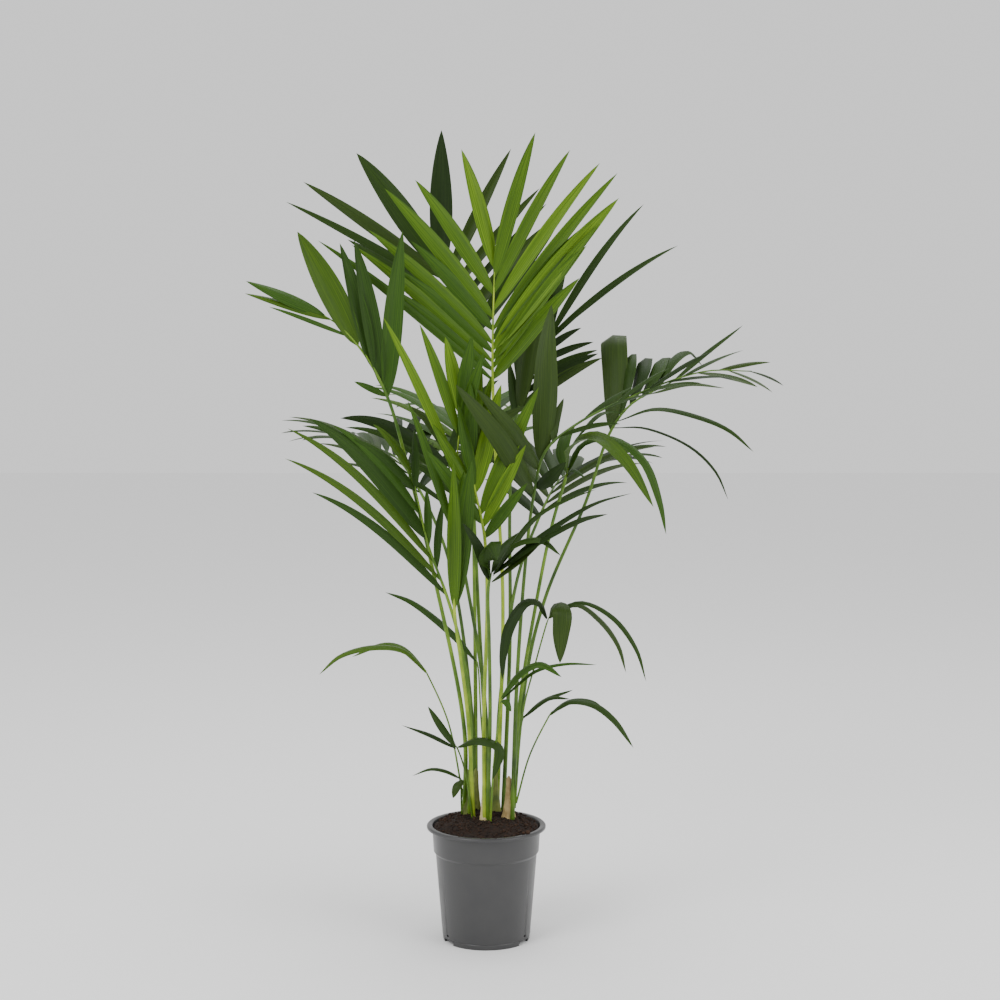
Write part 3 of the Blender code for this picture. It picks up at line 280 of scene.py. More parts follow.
            (0.012, (0.022, -0.080, 0.378), (0.028, -0.095, 0.384), (0.037, -0.100, 0.368)))),
    "small_rear": dict(
        face=(0, -0.6, 1), knee=2,
        spine=(
            (0.004, 0.045, 0.182), (-0.008, 0.050, 0.325), (-0.014, 0.050, 0.414),
            (-0.017, 0.050, 0.420)),
        straps=(
            (0.015, (-0.016, 0.050, 0.416), (-0.051, 0.045, 0.458), (-0.112, 0.030, 0.509),
             (-0.152, 0.020, 0.526)),)),
}

# Fronds at the rear, by rule: stem, direction from above in degrees (90 is straight back), height of
# the petiole's top, how far out it and the rib's tip are, leaflet pairs and the longest leaflet.
rearFronds = {
    "rear_left": ("stem_back", 128, 0.66, 0.16, 0.30, 8, 0.24),
    "rear_middle": ("stem_back", 97, 0.70, 0.20, 0.36, 9, 0.26),
    "rear_right": ("stem_rear", 62, 0.62, 0.17, 0.31, 8, 0.24),
}

# how green each frond is drawn; those not named are mid. Bright is the paler underside with painted light
# shining through it, dark is the darker upper side, with painted shade on the fronds at the rear
tintsAndPaintedLight = {
    "frond_centre": "bright", "frond_inner": "bright", "frond_front_left": "bright",
    "frond_back": "dark", "frond_right_back": "dark", "frond_right": "dark", "frond_arch": "dark",
    "frond_front_dark": "dark", "frond_dark_left": "dark", "small_high": "dark", "small_grey": "dark",
    "small_front": "dark", "small_right": "dark", "rear_left": "dark", "rear_right": "dark", "shoot": "dark",
}


def unit(v):
    return v.normalized()


def evenly(line, count):
    # the same line with its points spread evenly
    run = [0.0]
    for a, b in zip(line, line[1:]):
        run.append(run[-1] + (b - a).length)
    out = []
    i = 0
    for k in range(count):
        want = run[-1] * k / (count - 1)
        while i < len(line) - 2 and run[i + 1] < want:
            i += 1
        out.append(line[i].lerp(line[i + 1], (want - run[i]) / max(run[i + 1] - run[i], 1e-9)))
    return out


def smooth(points, count, fineSteps=20):
    # even points on a smooth curve through the given ones
    p = [Vector(q) for q in points]
    if len(p) == 2:
        return [p[0].lerp(p[1], k / (count - 1)) for k in range(count)]
    p = [2 * p[0] - p[1]] + p + [2 * p[-1] - p[-2]]
    fine = []
    for i in range(1, len(p) - 2):
        q = p[i - 1:i + 3]
        k = [0.0]
        for a, b in zip(q, q[1:]):
            k.append(k[-1] + math.sqrt((b - a).length))
        for step in range(fineSteps):
            t = k[1] + (k[2] - k[1]) * step / fineSteps
            a = [q[j].lerp(q[j + 1], (t - k[j]) / (k[j + 1] - k[j])) for j in range(3)]
            b = [a[j].lerp(a[j + 1], (t - k[j]) / (k[j + 2] - k[j])) for j in range(2)]
            fine.append(b[0].lerp(b[1], (t - k[1]) / (k[2] - k[1])))
    fine.append(p[-2])
    return evenly(fine, count)


def place(line, share):
    # point and direction at this share of an evenly spaced line
    last = len(line) - 1
    i = min(int(share * last), last - 1)
    return line[i].lerp(line[i + 1], share * last - i), unit(line[min(i + 2, last)] - line[max(i - 1, 0)])


rearShape = {
    "bends": ((0.12, 0.40), (0.50, 0.80)),  # petiole's bends: share of its reach, share of its height
    "middleRise": 0.055,  # of the rib's middle and tip above the petiole's top
    "tipRise": 0.070,
    "spread": (58, 18),  # degrees, of the leaflets at the rib's foot and tip
    "leafletWidth": 0.018,
    "footLength": 0.55,  # of the lowest leaflets, as a share of the longest
    "swell": 0.75,
    "firstPair": 0.6,  # the lowest pair stands this share of a step along the rib
    "stagger": 0.02,  # one leaflet of a pair stands this share of the rib further, the other less
    "lastShare": 0.98,
    "backLean": 0.45,  # how far its face leans in towards the middle of the clump
    "lift": 14,
    "droop": 32,
}


def rearFrond(stem, azimuth, height, out, tip, pairs, longest):
    # a frond at the back of the clump, rising, arching out and drooping its leaflets in pairs
    way = Vector((math.cos(math.radians(azimuth)), math.sin(math.radians(azimuth)), 0))
    foot = Vector((*stems[stem][0], soilTop))
    spine = [foot]
    for share, up in rearShape["bends"]:
        spine.append(foot.lerp(way * out, share))
        spine[-1].z = soilTop + (height - soilTop) * up
    for reach, rise in ((out, 0), ((out + tip) / 2, rearShape["middleRise"]), (tip, rearShape["tipRise"])):
        spine.append(way * reach + Vector((0, 0, height + rise)))
    low, high = rearShape["spread"]
    leaflets = []
    for k in range(pairs):
        share = (k + rearShape["firstPair"]) / pairs
        length = longest * (rearShape["footLength"] + rearShape["swell"] * (share - share ** 3))
        for side in (1, -1):
            spot = min(share + rearShape["stagger"] * side, rearShape["lastShare"])
            leaflets.append((side, spot, low + (high - low) * share, length, rearShape["leafletWidth"]))
    return dict(face=Vector((0, 0, 1)) - way * rearShape["backLean"], lift=rearShape["lift"],
                droop=rearShape["droop"], knee=3, spine=spine, leaflets=leaflets)


for name, rear in rearFronds.items():
    fronds[name] = rearFrond(*rear)
# a shoot of two leaflets, too small for a solid of its own
fronds["shoot"] = dict(
    face=(0, -0.7, 1), knee=2,
    spine=((-0.037, 0.020, 0.189), (-0.038, 0.005, 0.227), (-0.037, 0.000, 0.242), (-0.037, -0.001, 0.245)),
    straps=(
        (0.008, (-0.038, 0.000, 0.245), (-0.062, -0.005, 0.258), (-0.084, -0.010, 0.262),
         (-0.111, -0.015, 0.253)),
        (0.013, (-0.035, 0.000, 0.243), (-0.044, -0.010, 0.236), (-0.050, -0.012, 0.218))))

leaf = {
    "seed": 700,
    "lengthwise": 20,  # faces along and across a leaflet
    "crosswise": 4,
    "widestShare": 0.42,  # where along its length a leaflet is widest
    "growth": 0.6,  # how soon it widens from its foot
    "footReach": 0.0016,  # half its width where it joins the rib
    "leastRise": 0.24,  # the sine of its least angle to the rib
    "fold": (0.25, 0.5),  # how deep it folds along its middle, as a share of half its width
    "twist": (-0.5, 0.5),  # radians, at the tip
    "patternWidth": 0.02,  # metres of leaf to one unit of its UV map, across
    "finishes": (0, 0, 1, 2),  # the first finish of its tint is drawn twice as often
}


def halfWidth(share, width):
    # narrow at the foot, widest before the middle, pointed at the tip
    widest = leaf["widestShare"]
    growth = leaf["growth"]
    fall = growth * (1 - widest) / widest
    full = widest ** growth * (1 - widest) ** fall
    return width / 2 * max(share, 0) ** growth * max(1 - share, 0) ** fall / full


def leafletLine(rib, frond, leaflet):
    # the middle line of a straight-growing leaflet, and the way across it at each point
    side, share, spread, length, width = leaflet
    steps = leaf["lengthwise"]
    leastRise = leaf["leastRise"]
    foot, along = place(rib, share)
    face = Vector(frond["face"])
    up = unit(face - face.dot(along) * along)
    aside = along.cross(up) * side
    lift = math.radians(frond["lift"])
    spread = math.radians(spread)
    outwards = math.sin(spread) * math.cos(lift)
    forwards = math.sin(spread) * math.sin(lift)
    if math.hypot(outwards, forwards) < leastRise:
        forwards = math.sqrt(max(leastRise ** 2 - outwards ** 2, 0))
    go = unit(math.cos(spread) * along + aside * outwards + up * forwards)
    across = along - along.dot(go) * go
    if abs(math.sin(spread)) < leastRise:
        across = (aside - aside.dot(go) * go) * (-1 if spread > 0 else 1)
    across = unit(across)
    sagAxis = go.cross(Vector((0, 0, -1)))
    centres = [foot]
    crosses = [across]
    for k in range(steps):
        if sagAxis.length > 0.05:  # an upright leaflet doesn't sag
            bend = Matrix.Rotation(math.radians(frond["droop"]) * 2 * (k + 0.5) / steps ** 2, 3, sagAxis)
            go = bend @ go
            across = bend @ across
        centres.append(centres[-1] + go * length / steps)
        crosses.append(across)
    return centres, crosses, width


def strapLine(strap, frond):
    # the same for an arched leaflet, through its own points
    steps = leaf["lengthwise"]
    centres = smooth(strap[1:], steps + 1)
    face = Vector(frond.get("strapFace", frond["face"]))
    crosses = []
    for k in range(steps + 1):
        go = unit(centres[min(k + 1, steps)] - centres[max(k - 1, 0)])
        side = go.cross(face)
        if side.length < 0.2:  # it runs along its face
            side = go.cross(Vector((1, 0, 0)))
        side = unit(side)
        if crosses and side.dot(crosses[-1]) < 0:
            side = -side
        crosses.append(side)
    return centres, crosses, strap[0]


class Value:
    # wraps a socket, so that node maths is written as arithmetic
    def __init__(self, tree, socket=None):
        self.tree = tree
        self.socket = socket

    def node(self, kind, settings=None, out=0, **inputs):
        # i0 is the new node's first input, and From_Min is its input From Min
        made = self.tree.nodes.new(kind)
        for key, value in (settings or {}).items():
            setattr(made, key, value)
        for key, value in inputs.items():
            numbered = key[0] == "i" and key[1:].isdigit()
            target = made.inputs[int(key[1:]) if numbered else key.replace("_", " ")]
            if isinstance(value, Value):
                self.tree.links.new(value.socket, target)
            else:
                target.default_value = value
        return Value(self.tree, made.outputs[out])

    def math(self, operation, other):
        return self.node("ShaderNodeMath", {"operation": operation}, i0=self, i1=other)

    def __add__(self, other):
        return self.math("ADD", other)

    __radd__ = __add__

    def __mul__(self, other):
        return self.math("MULTIPLY", other)

    __rmul__ = __mul__

    def mix(self, low, high):
        # a colour between two, by this value
        return self.node("ShaderNodeMix", {"data_type": "RGBA"}, 2, i0=self, i6=(*low, 1), i7=(*high, 1))


def linear(*channels):
    # a colour as a screen shows it, 0 to 255, as the shader wants it
    return tuple((c / 255 / 12.92 if c <= 10 else ((c / 255 + 0.055) / 1.055) ** 2.4) for c in channels)


surface = {
    "spotRange": (0.3, 0.7),  # of the noise, stretched to the whole span of colours
    "roughnessSpan": 0.12,
    "grainDepth": 0.0004,
    "grainShare": 4,  # the grain is this many times finer than the spots
}


def finish(name, low, high, roughness, scale, gloss=0.3, bump=0.0, stretch=None, bumpScale=None):
    # a colour that wanders between two over the piece, with an optional grain in relief
    made = bpy.data.materials.new(name)
    made.use_nodes = True
    tree = made.node_tree
    shader = tree.nodes["Principled BSDF"]
    maker = Value(tree)
    coords = maker.node("ShaderNodeTexCoord", out="UV" if stretch else "Object")
    vector = maker.node("ShaderNodeMapping", Vector=coords, Scale=stretch or (1, 1, 1))
    spots = maker.node("ShaderNodeTexNoise", Vector=vector, Scale=scale, Detail=3)
    least, most = surface["spotRange"]
    amount = maker.node("ShaderNodeMapRange", Value=spots, From_Min=least, From_Max=most)
    tree.links.new(amount.mix(linear(*low), linear(*high)).socket, shader.inputs["Base Color"])
    rough = roughness - surface["roughnessSpan"] / 2 + surface["roughnessSpan"] * amount
    tree.links.new(rough.socket, shader.inputs["Roughness"])
    shader.inputs["Specular IOR Level"].default_value = gloss
    if bump:
        fine = bumpScale or scale * surface["grainShare"]
        grain = maker.node("ShaderNodeTexNoise", Vector=vector, Scale=fine, Detail=4)
        relief = maker.node("ShaderNodeBump", Strength=bump, Distance=surface["grainDepth"], Height=grain)
        tree.links.new(relief.socket, shader.inputs["Normal"])
    return made


# each finish: its two colours and its roughness
leafLooks = {
    # bright: lighter than the leaflets' own green, painted light standing in for light shining through them
    "bright": {
        "leaf_bright": ((40, 70, 10), (84, 116, 20), 0.46),
        "leaf_lime": ((52, 84, 11), (104, 136, 24), 0.44),
        "leaf_fresh": ((32, 60, 10), (64, 96, 17), 0.48)},
    "mid": {
        "leaf_mid": ((33, 60, 10), (56, 88, 16), 0.46),
        "leaf_moss": ((27, 50, 10), (46, 74, 14), 0.48),
        "leaf_warm": ((40, 66, 10), (70, 98, 17), 0.44)},
    # dark: the darker upper side, and on the rear fronds painted shade as well
    "dark": {
        "leaf_dark": ((26, 46, 9), (44, 68, 14), 0.46),
        "leaf_deep": ((19, 36, 8), (34, 54, 12), 0.48),
        # a greyer green that is a painted sheen, the reflection of the bright sky on glossy leaflets
        "leaf_grey_painted_sheen": ((34, 52, 14), (54, 74, 22), 0.42)},
}
leafGrain = dict(scale=1.5, gloss=0.16, bump=0.6, stretch=(1.1, 9, 1))  # fine veins along the leaflet
leafFinishes = {}
for tint, looks in leafLooks.items():
    leafFinishes[tint] = [finish(name, *look, **leafGrain) for name, look in looks.items()]
# lighter and darker copies of one stalk green, dealt by the frond's tint: painted light on the bright
# fronds, painted shade on the rear dark ones
stalkFinishes = {
    "bright": finish("stalk_lime", (92, 128, 26), (162, 182, 52), 0.42, 26),
    "mid": finish("stalk_green", (56, 90, 22), (112, 144, 40), 0.44, 26),
    "dark": finish("stalk_deep", (44, 72, 18), (88, 120, 34), 0.44, 26),
}
stemFinishes = {
    "green": finish("sheath_green", (70, 88, 34), (124, 132, 62), 0.6, 60, bump=0.5),
    "cream": finish("sheath_cream", (176, 162, 110), (206, 194, 146), 0.6, 60, bump=0.5),
    "tan": finish("sheath_tan", (150, 124, 78), (204, 182, 132), 0.65, 70, bump=0.6),
}
potFinish = finish("pot_grey", (50, 50, 51), (55, 55, 55), 0.34, 30, gloss=0.55, bump=0.08, bumpScale=900)
soilFinish = finish("soil_dark", (20, 14, 10), (44, 30, 21), 0.92, 180, bump=0.9, bumpScale=900)
crumbFinish = finish("soil_crumb", (24, 16, 11), (58, 40, 28), 0.92, 90)
print("finishes done")


def piece(name, shape, finishes, nodes, sharp=None):
    # a finished piece on the one body, in place of these nodes
    mesh = bpy.data.meshes.new(name)
    shape.to_mesh(mesh)
    shape.free()
    for one in finishes:
        mesh.materials.append(one)
    mesh.shade_smooth()
    if sharp:
        mesh.set_sharp_from_angle(angle=math.radians(sharp))
    made = bpy.data.objects.new(name, mesh)
    bpy.context.scene.collection.objects.link(made)
    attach(made, "root")
    if nodes:
        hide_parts(*nodes)
    return made


def edgesOf(verts):
    # each edge of a ring of points once, in order
    return list(dict.fromkeys(edge for v in verts for edge in v.link_edges))


def limbMesh(shape, line, radii, sides, face=(0, -1, 0.2), channel=0.0, relief=None):
    # a round limb bridged ring by ring along its line, closed at both ends, with a channel in front
    last = len(line) - 1
    front = Vector(face)
    loops = []
    for k, centre in enumerate(line):
        along = unit(line[min(k + 1, last)] - line[max(k - 1, 0)])
        front = unit(front - front.dot(along) * along)
        beside = along.cross(front)
        ring = bmesh.ops.create_circle(shape, segments=sides, radius=1)["verts"]
        for step, v in enumerate(ring):
            turn = math.tau * step / sides
            reach = radii[k] * (1 - channel * max(math.cos(turn), 0) ** 3)
            if relief:
                reach += relief(k / last, turn) * radii[k]
            v.co = centre + (front * math.cos(turn) + beside * math.sin(turn)) * reach
        loops.append(edgesOf(ring))
    for lower, upper in zip(loops, loops[1:]):
        bmesh.ops.bridge_loops(shape, edges=lower + upper)
    for end in (loops[0], loops[-1]):
        bmesh.ops.contextual_create(shape, geom=end)
    bmesh.ops.recalc_face_normals(shape, faces=shape.faces)


def leafletMesh(shape, uv, centres, crosses, width, finishNumber, fold, twist):
    # one leaflet: a grid bent along its line, folded a little along its middle
    steps = leaf["lengthwise"]
    made = bmesh.ops.create_grid(shape, x_segments=steps, y_segments=leaf["crosswise"], size=0.5)
    for v in made["verts"]:
        share = min(max(v.co.x + 0.5, 0), 1)
        over = v.co.y * 2
        k = round(share * steps)
        go = unit(centres[min(k + 1, steps)] - centres[max(k - 1, 0)])
        across = Matrix.Rotation(twist * share * share, 3, go) @ crosses[k]
        up = go.cross(across)
        reach = halfWidth(k / steps, width) if k else leaf["footReach"]
        v.co = centres[k] + across * over * reach + up * (fold * (abs(over) - 0.5) * reach)
        for loop in v.link_loops:
            loop[uv].uv = (share, over * 0.5 * width / leaf["patternWidth"])
            loop.face.material_index = finishNumber


stalk = {
    "points": 64,
    "ribPoints": 27,
    "sides": 10,
    "channel": 0.25,  # depth of the channel in front, as a share of the radius
    "sunk": 0.012,  # its foot runs on this far into the soil
    "taper": 0.7,
    "radii": (0.0037, 0.0024, 0.0008),  # at the foot, at the rib's start and at the tip
    "smallRadii": (0.0017, 0.0012, 0.0006),
}


def stalkRadii(line, rib, small):
    # thick at the foot, thinner where the rib starts, thinnest at the tip
    foot, neck, tip = stalk["smallRadii" if small else "radii"]
    last = len(line) - 1
    bend = min(range(len(line)), key=lambda k: (line[k] - rib[0]).length)
    radii = [foot + (neck - foot) * (k / bend) ** stalk["taper"] for k in range(bend)]
    return radii + [neck + (tip - neck) * (k - bend) / max(last - bend, 1) for k in range(bend, last + 1)]


def makeFrond(number, key, frond):
    # a stalk with its rib, and its leaflets as a second piece
    rng = random.Random(leaf["seed"] + number)
    # the frond's tint, with the painted light and shade that it carries
    tint = tintsAndPaintedLight.get(key, "mid")
    short = key.replace("frond_", "")
    solids = [] if key == "shoot" else ["petiole_" + short, "blade_" + short]
    points = [Vector(p) for p in frond["spine"]]
    rib = smooth(points[frond["knee"]:], stalk["ribPoints"])
    line = smooth([points[0] - Vector((0, 0, stalk["sunk"]))] + points[1:], stalk["points"])
    radii = stalkRadii(line, rib, key == "shoot" or key.startswith("small"))
    shape = bmesh.new()
    limbMesh(shape, line, radii, stalk["sides"], frond["face"], stalk["channel"])
    piece("stalk_" + short, shape, [stalkFinishes[tint]], solids[:1])

    shape = bmesh.new()
    uv = shape.loops.layers.uv.new("UVMap")
    lines = [leafletLine(rib, frond, item) for item in frond.get("leaflets", ())]
    lines += [strapLine(item, frond) for item in frond.get("straps", ())]
    for centres, crosses, width in lines:
        leafletMesh(shape, uv, centres, crosses, width, rng.choice(leaf["finishes"]),
                    rng.uniform(*leaf["fold"]), rng.uniform(*leaf["twist"]))
    bmesh.ops.remove_doubles(shape, verts=shape.verts, dist=weld)
    piece("leaves_" + short, shape, leafFinishes[tint], solids[1:])


for number, (key, frond) in enumerate(fronds.items()):
    makeFrond(number, key, frond)
print("fronds done,", len(fronds))

sheath = {
    "rings": 30,
    "sides": 48,
    "sunk": 0.006,
    "flare": 2.2,
    "shoulder": 0.7,  # the last ring but one is drawn in to this share
    "tipRadius": 0.0008,
    # relief as shares of the radius: depth and number of the broad and the fine ridges, depth and
    # spacing of the scars, and depth of the knots
    "ridges": ((0.05, 9), (0.03, 17)),
    "scars": (0.07, 34),
    "knots": 0.05,
}


def makeStem(number, name, spot, height, foot, top, tint):
    # a short base wrapped in old leaf sheaths, with fine ridges along it and scars round it
    def relief(share, turn):
        broad, fine = sheath["ridges"]
        ridges = broad[0] * math.sin(turn * broad[1] + number)
        ridges += fine[0] * math.sin(turn * fine[1] + share * 3)
        depth, count = sheath["scars"]
        scars = depth * max(math.sin(share * count + number + math.sin(turn)), 0) ** 6
        where = Vector((math.cos(turn) * 2, math.sin(turn) * 2, share * 9 + number))
        return ridges + scars + sheath["knots"] * noise.noise(where)

    rings = sheath["rings"]
    low = Vector((*spot, soilTop - sheath["sunk"]))
    line = [low + Vector((0, 0, (height + sheath["sunk"]) * k / rings)) for k in range(rings + 1)]
    radii = [top + (foot - top) * (1 - k / rings) ** sheath["flare"] for k in range(rings + 1)]
    radii[-2] *= sheath["shoulder"]
    radii[-1] = sheath["tipRadius"]
    shape = bmesh.new()
    limbMesh(shape, line, radii, sheath["sides"], relief=relief)
    piece("sheath_" + name, shape, [stemFinishes[tint]], [name])


for number, (name, stem) in enumerate(stems.items()):
    makeStem(number, name, *stem)
print("stems done,", len(stems))

pot = {
    "height": 0.176,
    "rimRadius": 0.0900,
    "collarTop": 0.0815,
    "collarFoot": 0.0795,
    "collarEdge": 0.136,  # height of the step under the collar
    "stepHeight": 0.004,
    "bodyTop": 0.0765,
    "baseRadius": 0.0655,
    "wall": 0.0016,
    "lipDepth": 0.005,
    "lipRound": 0.002,
    "footHeight": 0.008,
    "footRing": 0.003,  # width of the ring that it stands on
    "underside": 0.007,  # height of the hollow under the floor
    "padRadius": 0.017,
}
notch = {"angles": (90, 210, 330), "width": 0.026, "depth": 0.016, "height": 0.0058, "inset": 0.0015}
drain = {"radius": 0.0032, "length": 0.012, "height": 0.0125, "flatten": 0.5, "sides": 20}


def rounded(profile, size=0.0007):
    # the same profile with each sharp turn cut by a short arc
    out = [profile[0]]
    for a, b, c in zip(profile, profile[1:], profile[2:]):
        a, b, c = Vector(a), Vector(b), Vector(c)
        cut = min(size, (a - b).length * 0.35, (c - b).length * 0.35)
        start = b + unit(a - b) * cut
        end = b + unit(c - b) * cut
        for t in (0, 0.33, 0.67, 1):
            out.append(tuple(start * (1 - t) ** 2 + b * 2 * t * (1 - t) + end * t * t))
    out.append(profile[-1])
    return out


def potProfile(height, rimRadius, collarTop, collarFoot, collarEdge, stepHeight, bodyTop, baseRadius, wall,
               lipDepth, lipRound, footHeight, footRing, underside, padRadius):
    # from the middle of the inner floor, up the inside, over the rolled lip and down to the underside
    lipFoot = height - lipDepth
    return [
        (0.0, footHeight + wall),
        (baseRadius - wall, footHeight + wall),
        (bodyTop - wall, collarEdge - stepHeight / 2),
        (collarFoot - wall, collarEdge + stepHeight / 2),
        (collarTop - wall, lipFoot),
        (collarTop, height - wall / 2),
        (collarTop + lipRound, height),
        (rimRadius - lipRound, height),
        (rimRadius, height - lipRound),
        (rimRadius - 0.0003, lipFoot),
        (rimRadius - lipRound, lipFoot - 0.0005),
        (collarTop, lipFoot - 0.0010),
        (collarFoot, collarEdge),
        (bodyTop, collarEdge - stepHeight),
        # a shallow groove where the wall meets the foot
        (baseRadius + 0.0011, footHeight + 0.0008),
        (baseRadius + 0.0001, footHeight),
        (baseRadius + 0.0007, footHeight - 0.0010),
        (baseRadius, 0.0),
        (baseRadius - footRing, 0.0),
        (baseRadius - footRing - 0.001, underside),
        (padRadius, underside),
        (padRadius - 0.001, 0.0),
        (0.0, 0.0)]


def spun(profile, count=120):
    # a profile turned round the pot's own axis
    shape = bmesh.new()
    verts = [shape.verts.new((r, 0, z)) for r, z in profile]
    edges = [shape.edges.new(pair) for pair in zip(verts, verts[1:])]
    bmesh.ops.spin(shape, geom=verts + edges, cent=(0, 0, 0), axis=(0, 0, 1), angle=math.tau, steps=count,
                   use_merge=True)
    bmesh.ops.remove_doubles(shape, verts=shape.verts, dist=weld)
    bmesh.ops.recalc_face_normals(shape, faces=shape.faces)
    return shape


def notchCutter(baseRadius):
    # the notches in the foot, with a small drain opening through the wall above each
    shape = bmesh.new()
    for angle in notch["angles"]:
        turn = Matrix.Rotation(math.radians(angle), 3, "Z")
        made = bmesh.ops.create_cube(shape, size=1)["verts"]
        bmesh.ops.scale(shape, vec=(notch["depth"], notch["width"], 2 * notch["height"]), verts=made)
        bmesh.ops.translate(shape, vec=(baseRadius - notch["inset"], 0, 0), verts=made)
        bmesh.ops.rotate(shape, cent=(0, 0, 0), matrix=turn, verts=made)
        made = bmesh.ops.create_cone(shape, cap_ends=True, segments=drain["sides"], radius1=drain["radius"],
                                     radius2=drain["radius"], depth=drain["length"])["verts"]
        bmesh.ops.scale(shape, vec=(drain["flatten"], 1, 1), verts=made)
        lie = turn @ Matrix.Rotation(math.radians(90), 3, "Y")
        bmesh.ops.rotate(shape, cent=(0, 0, 0), matrix=lie, verts=made)
        bmesh.ops.translate(shape, vec=turn @ Vector((baseRadius, 0, drain["height"])), verts=made)
    mesh = bpy.data.meshes.new("notches")
    shape.to_mesh(mesh)
    shape.free()
    cutter = bpy.data.objects.new("notches", mesh)
    bpy.context.scene.collection.objects.link(cutter)
    return cutter


def makePot():
    shape = spun(rounded(potProfile(**pot)))
    shell = piece("pot_shell", shape, [potFinish], ["pot"], sharp=40)
    cutter = notchCutter(pot["baseRadius"])
    cut = shell.modifiers.new("Notches", "BOOLEAN")
    cut.operation = "DIFFERENCE"
    cut.object = cutter
    whole = bpy.data.meshes.new_from_object(shell.evaluated_get(bpy.context.evaluated_depsgraph_get()))
    shell.modifiers.clear()
    shell.data = whole
    bpy.data.objects.remove(cutter)


makePot()
print("pot done")

soil = {
    "reach": pot["collarTop"] - pot["wall"] - 0.0009,  # radius, just inside the wall
    "edge": 0.1725,  # height at the wall, before its clods
    "rise": 0.0125,  # from there to the level middle
    "flatShare": 0.55,
    "shoulder": 0.8,
    "rearHeap": 0.0090,
    "clods": 0.0024,
    "clodScale": 90,
    "skirt": 0.012,
    "rings": 46,
    "around": 120,
}
crumbs = {
    "seed": 41,
    "count": 1000,
    "spread": 0.97,
    "size": (0.0006, 0.0024),
    "largeShare": 0.12,
    "largeTimes": 1.6,
    # those on the rim: degrees round it, distance from the middle, size
    "onRim": ((-43, 0.0850, 0.0036), (-47, 0.0815, 0.0026), (-95, 0.0850, 0.0012),
              (-118, 0.0845, 0.0010), (-80, 0.0862, 0.0009)),
}


def soilHeight(x, y):
    # level round the stems, falling to the wall, heaped a little at the rear, with clods
    away = math.hypot(x, y) / soil["reach"]
    slope = max(away - soil["flatShare"], 0) / (1 - soil["flatShare"])
    level = soil["edge"] + soil["rise"] * max(1 - slope, 0) ** soil["shoulder"]
    heap = soil["rearHeap"] * max(y / soil["reach"], 0) * (1 - away)
    clods = soil["clods"] * noise.fractal(Vector((x, y, 0)) * soil["clodScale"], 0.7, 2.1, 5)
    return level + heap + clods * min((1 - away) * 9 + 0.25, 1)


def makeSoil():
    # rings laid on the heap and bridged, with a skirt down inside the wall
    shape = bmesh.new()
    loops = []
    for k in range(1, soil["rings"] + 1):
        radius = soil["reach"] * k / soil["rings"]
        ring = bmesh.ops.create_circle(shape, segments=soil["around"], radius=radius)["verts"]
        for v in ring:
            v.co.z = soilHeight(v.co.x, v.co.y)
        loops.append(edgesOf(ring))
    for inner, outer in zip(loops, loops[1:]):
        bmesh.ops.bridge_loops(shape, edges=inner + outer)
    bmesh.ops.contextual_create(shape, geom=loops[0])
    skirt = bmesh.ops.extrude_edge_only(shape, edges=loops[-1])["geom"]
    for v in [part for part in skirt if isinstance(part, bmesh.types.BMVert)]:
        v.co.z -= soil["skirt"]
    bmesh.ops.recalc_face_normals(shape, faces=shape.faces)
    piece("soil_heap", shape, [soilFinish], ["soil"])


def lumpy(point, depth, scale, away):
    # a crumb's point, pushed in or out by noise
    return point * (1 + depth * noise.noise(point * scale + away))


def makeCrumbs():
    # loose crumbs strewn over the soil, and a few on the rim
    rng = random.Random(crumbs["seed"])
    shape = bmesh.new()
    for k in range(crumbs["count"]):
        turn = rng.uniform(0, math.tau)
        away = soil["reach"] * crumbs["spread"] * math.sqrt(rng.random())
        x, y = away * math.cos(turn), away * math.sin(turn)
        size = rng.uniform(*crumbs["size"])
        if rng.random() < crumbs["largeShare"]:
            size *= crumbs["largeTimes"]
        made = bmesh.ops.create_icosphere(shape, subdivisions=1, radius=size)["verts"]
        centre = Vector((x, y, soilHeight(x, y) + size * 0.3))
        lean = Matrix.Rotation(rng.uniform(0, 3), 3, "X") @ Matrix.Rotation(rng.uniform(0, 3), 3, "Z")
        squash = Vector((1, rng.uniform(0.6, 1), rng.uniform(0.5, 0.8)))
        for v in made:
            v.co = centre + lean @ (lumpy(v.co, 0.35, 900, centre * 70) * squash)
    for turn, away, size in crumbs["onRim"]:
        made = bmesh.ops.create_icosphere(shape, subdivisions=2, radius=size)["verts"]
        centre = Vector((away * math.cos(math.radians(turn)), away * math.sin(math.radians(turn)), 0))
        lifted = centre + Vector((0, 0, pot["height"] + size * 0.55))
        for v in made:
            v.co = lifted + lumpy(v.co, 0.4, 800, centre * 90)
            v.co.z = max(v.co.z, pot["height"] - 0.0002)
    piece("soil_crumbs", shape, [crumbFinish], [])


makeSoil()
makeCrumbs()
print("soil done")

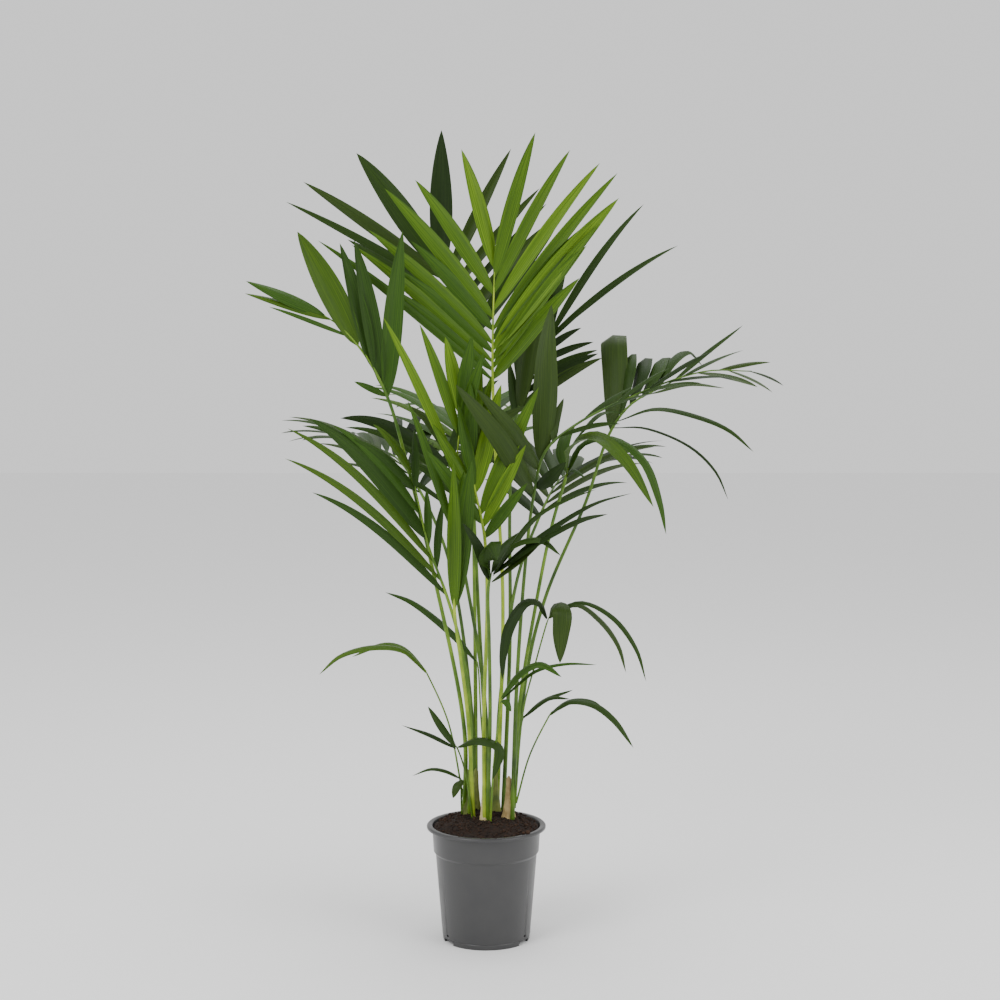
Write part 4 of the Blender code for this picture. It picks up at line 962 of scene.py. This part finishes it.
studio = {
    "floorHalf": 8,
    "floorGrey": 0.92,
    "floorRoughness": 0.9,
    # lamps: place, where they point, width and power
    "lamps": {
        "key": ((-1.9, -2.2, 2.6), (0, 0, 0.6), 1.6, 60),
        "fill": ((2.3, -1.6, 1.6), (0, 0, 0.5), 1.8, 34),
        "top": ((0.2, 0.8, 3.0), (0, 0, 0.7), 1.6, 30),
    },
    "lens": 75,
    "sensor": 36,
    "cameraPlace": (0.0207, -3.08, 0.98),
    "cameraTilt": 84.2,
}


def makeFloor():
    shape = bmesh.new()
    bmesh.ops.create_grid(shape, x_segments=1, y_segments=1, size=studio["floorHalf"])
    mesh = bpy.data.meshes.new("floor")
    shape.to_mesh(mesh)
    shape.free()
    made = bpy.data.materials.new("pale_floor")
    made.use_nodes = True
    shader = made.node_tree.nodes["Principled BSDF"]
    shader.inputs["Base Color"].default_value = (*[studio["floorGrey"]] * 3, 1)
    shader.inputs["Roughness"].default_value = studio["floorRoughness"]
    mesh.materials.append(made)
    floor = bpy.data.objects.new("floor", mesh)
    bpy.context.scene.collection.objects.link(floor)


def makeWorld():
    world = bpy.data.worlds.new("studio")
    bpy.context.scene.world = world
    world.use_nodes = True
    sky = world.node_tree.nodes["Background"]
    sky.inputs["Color"].default_value = (1, 1, 1, 1)
    sky.inputs["Strength"].default_value = 1.0


def makeLamp(name, spot, aim, size, power):
    data = bpy.data.lights.new(name, "AREA")
    data.shape = "SQUARE"
    data.size = size
    data.energy = power
    made = bpy.data.objects.new(name, data)
    made.location = spot
    made.rotation_euler = (Vector(aim) - Vector(spot)).to_track_quat("-Z", "Y").to_euler()
    bpy.context.scene.collection.objects.link(made)


def makeCamera():
    data = bpy.data.cameras.new("camera")
    data.lens = studio["lens"]
    data.sensor_width = studio["sensor"]
    camera = bpy.data.objects.new("camera", data)
    camera.location = studio["cameraPlace"]
    camera.rotation_euler = (math.radians(studio["cameraTilt"]), 0, 0)
    bpy.context.scene.collection.objects.link(camera)
    bpy.context.scene.camera = camera


makeFloor()
makeWorld()
for name, lampSetting in studio["lamps"].items():
    makeLamp(name, *lampSetting)
makeCamera()
print("studio done")
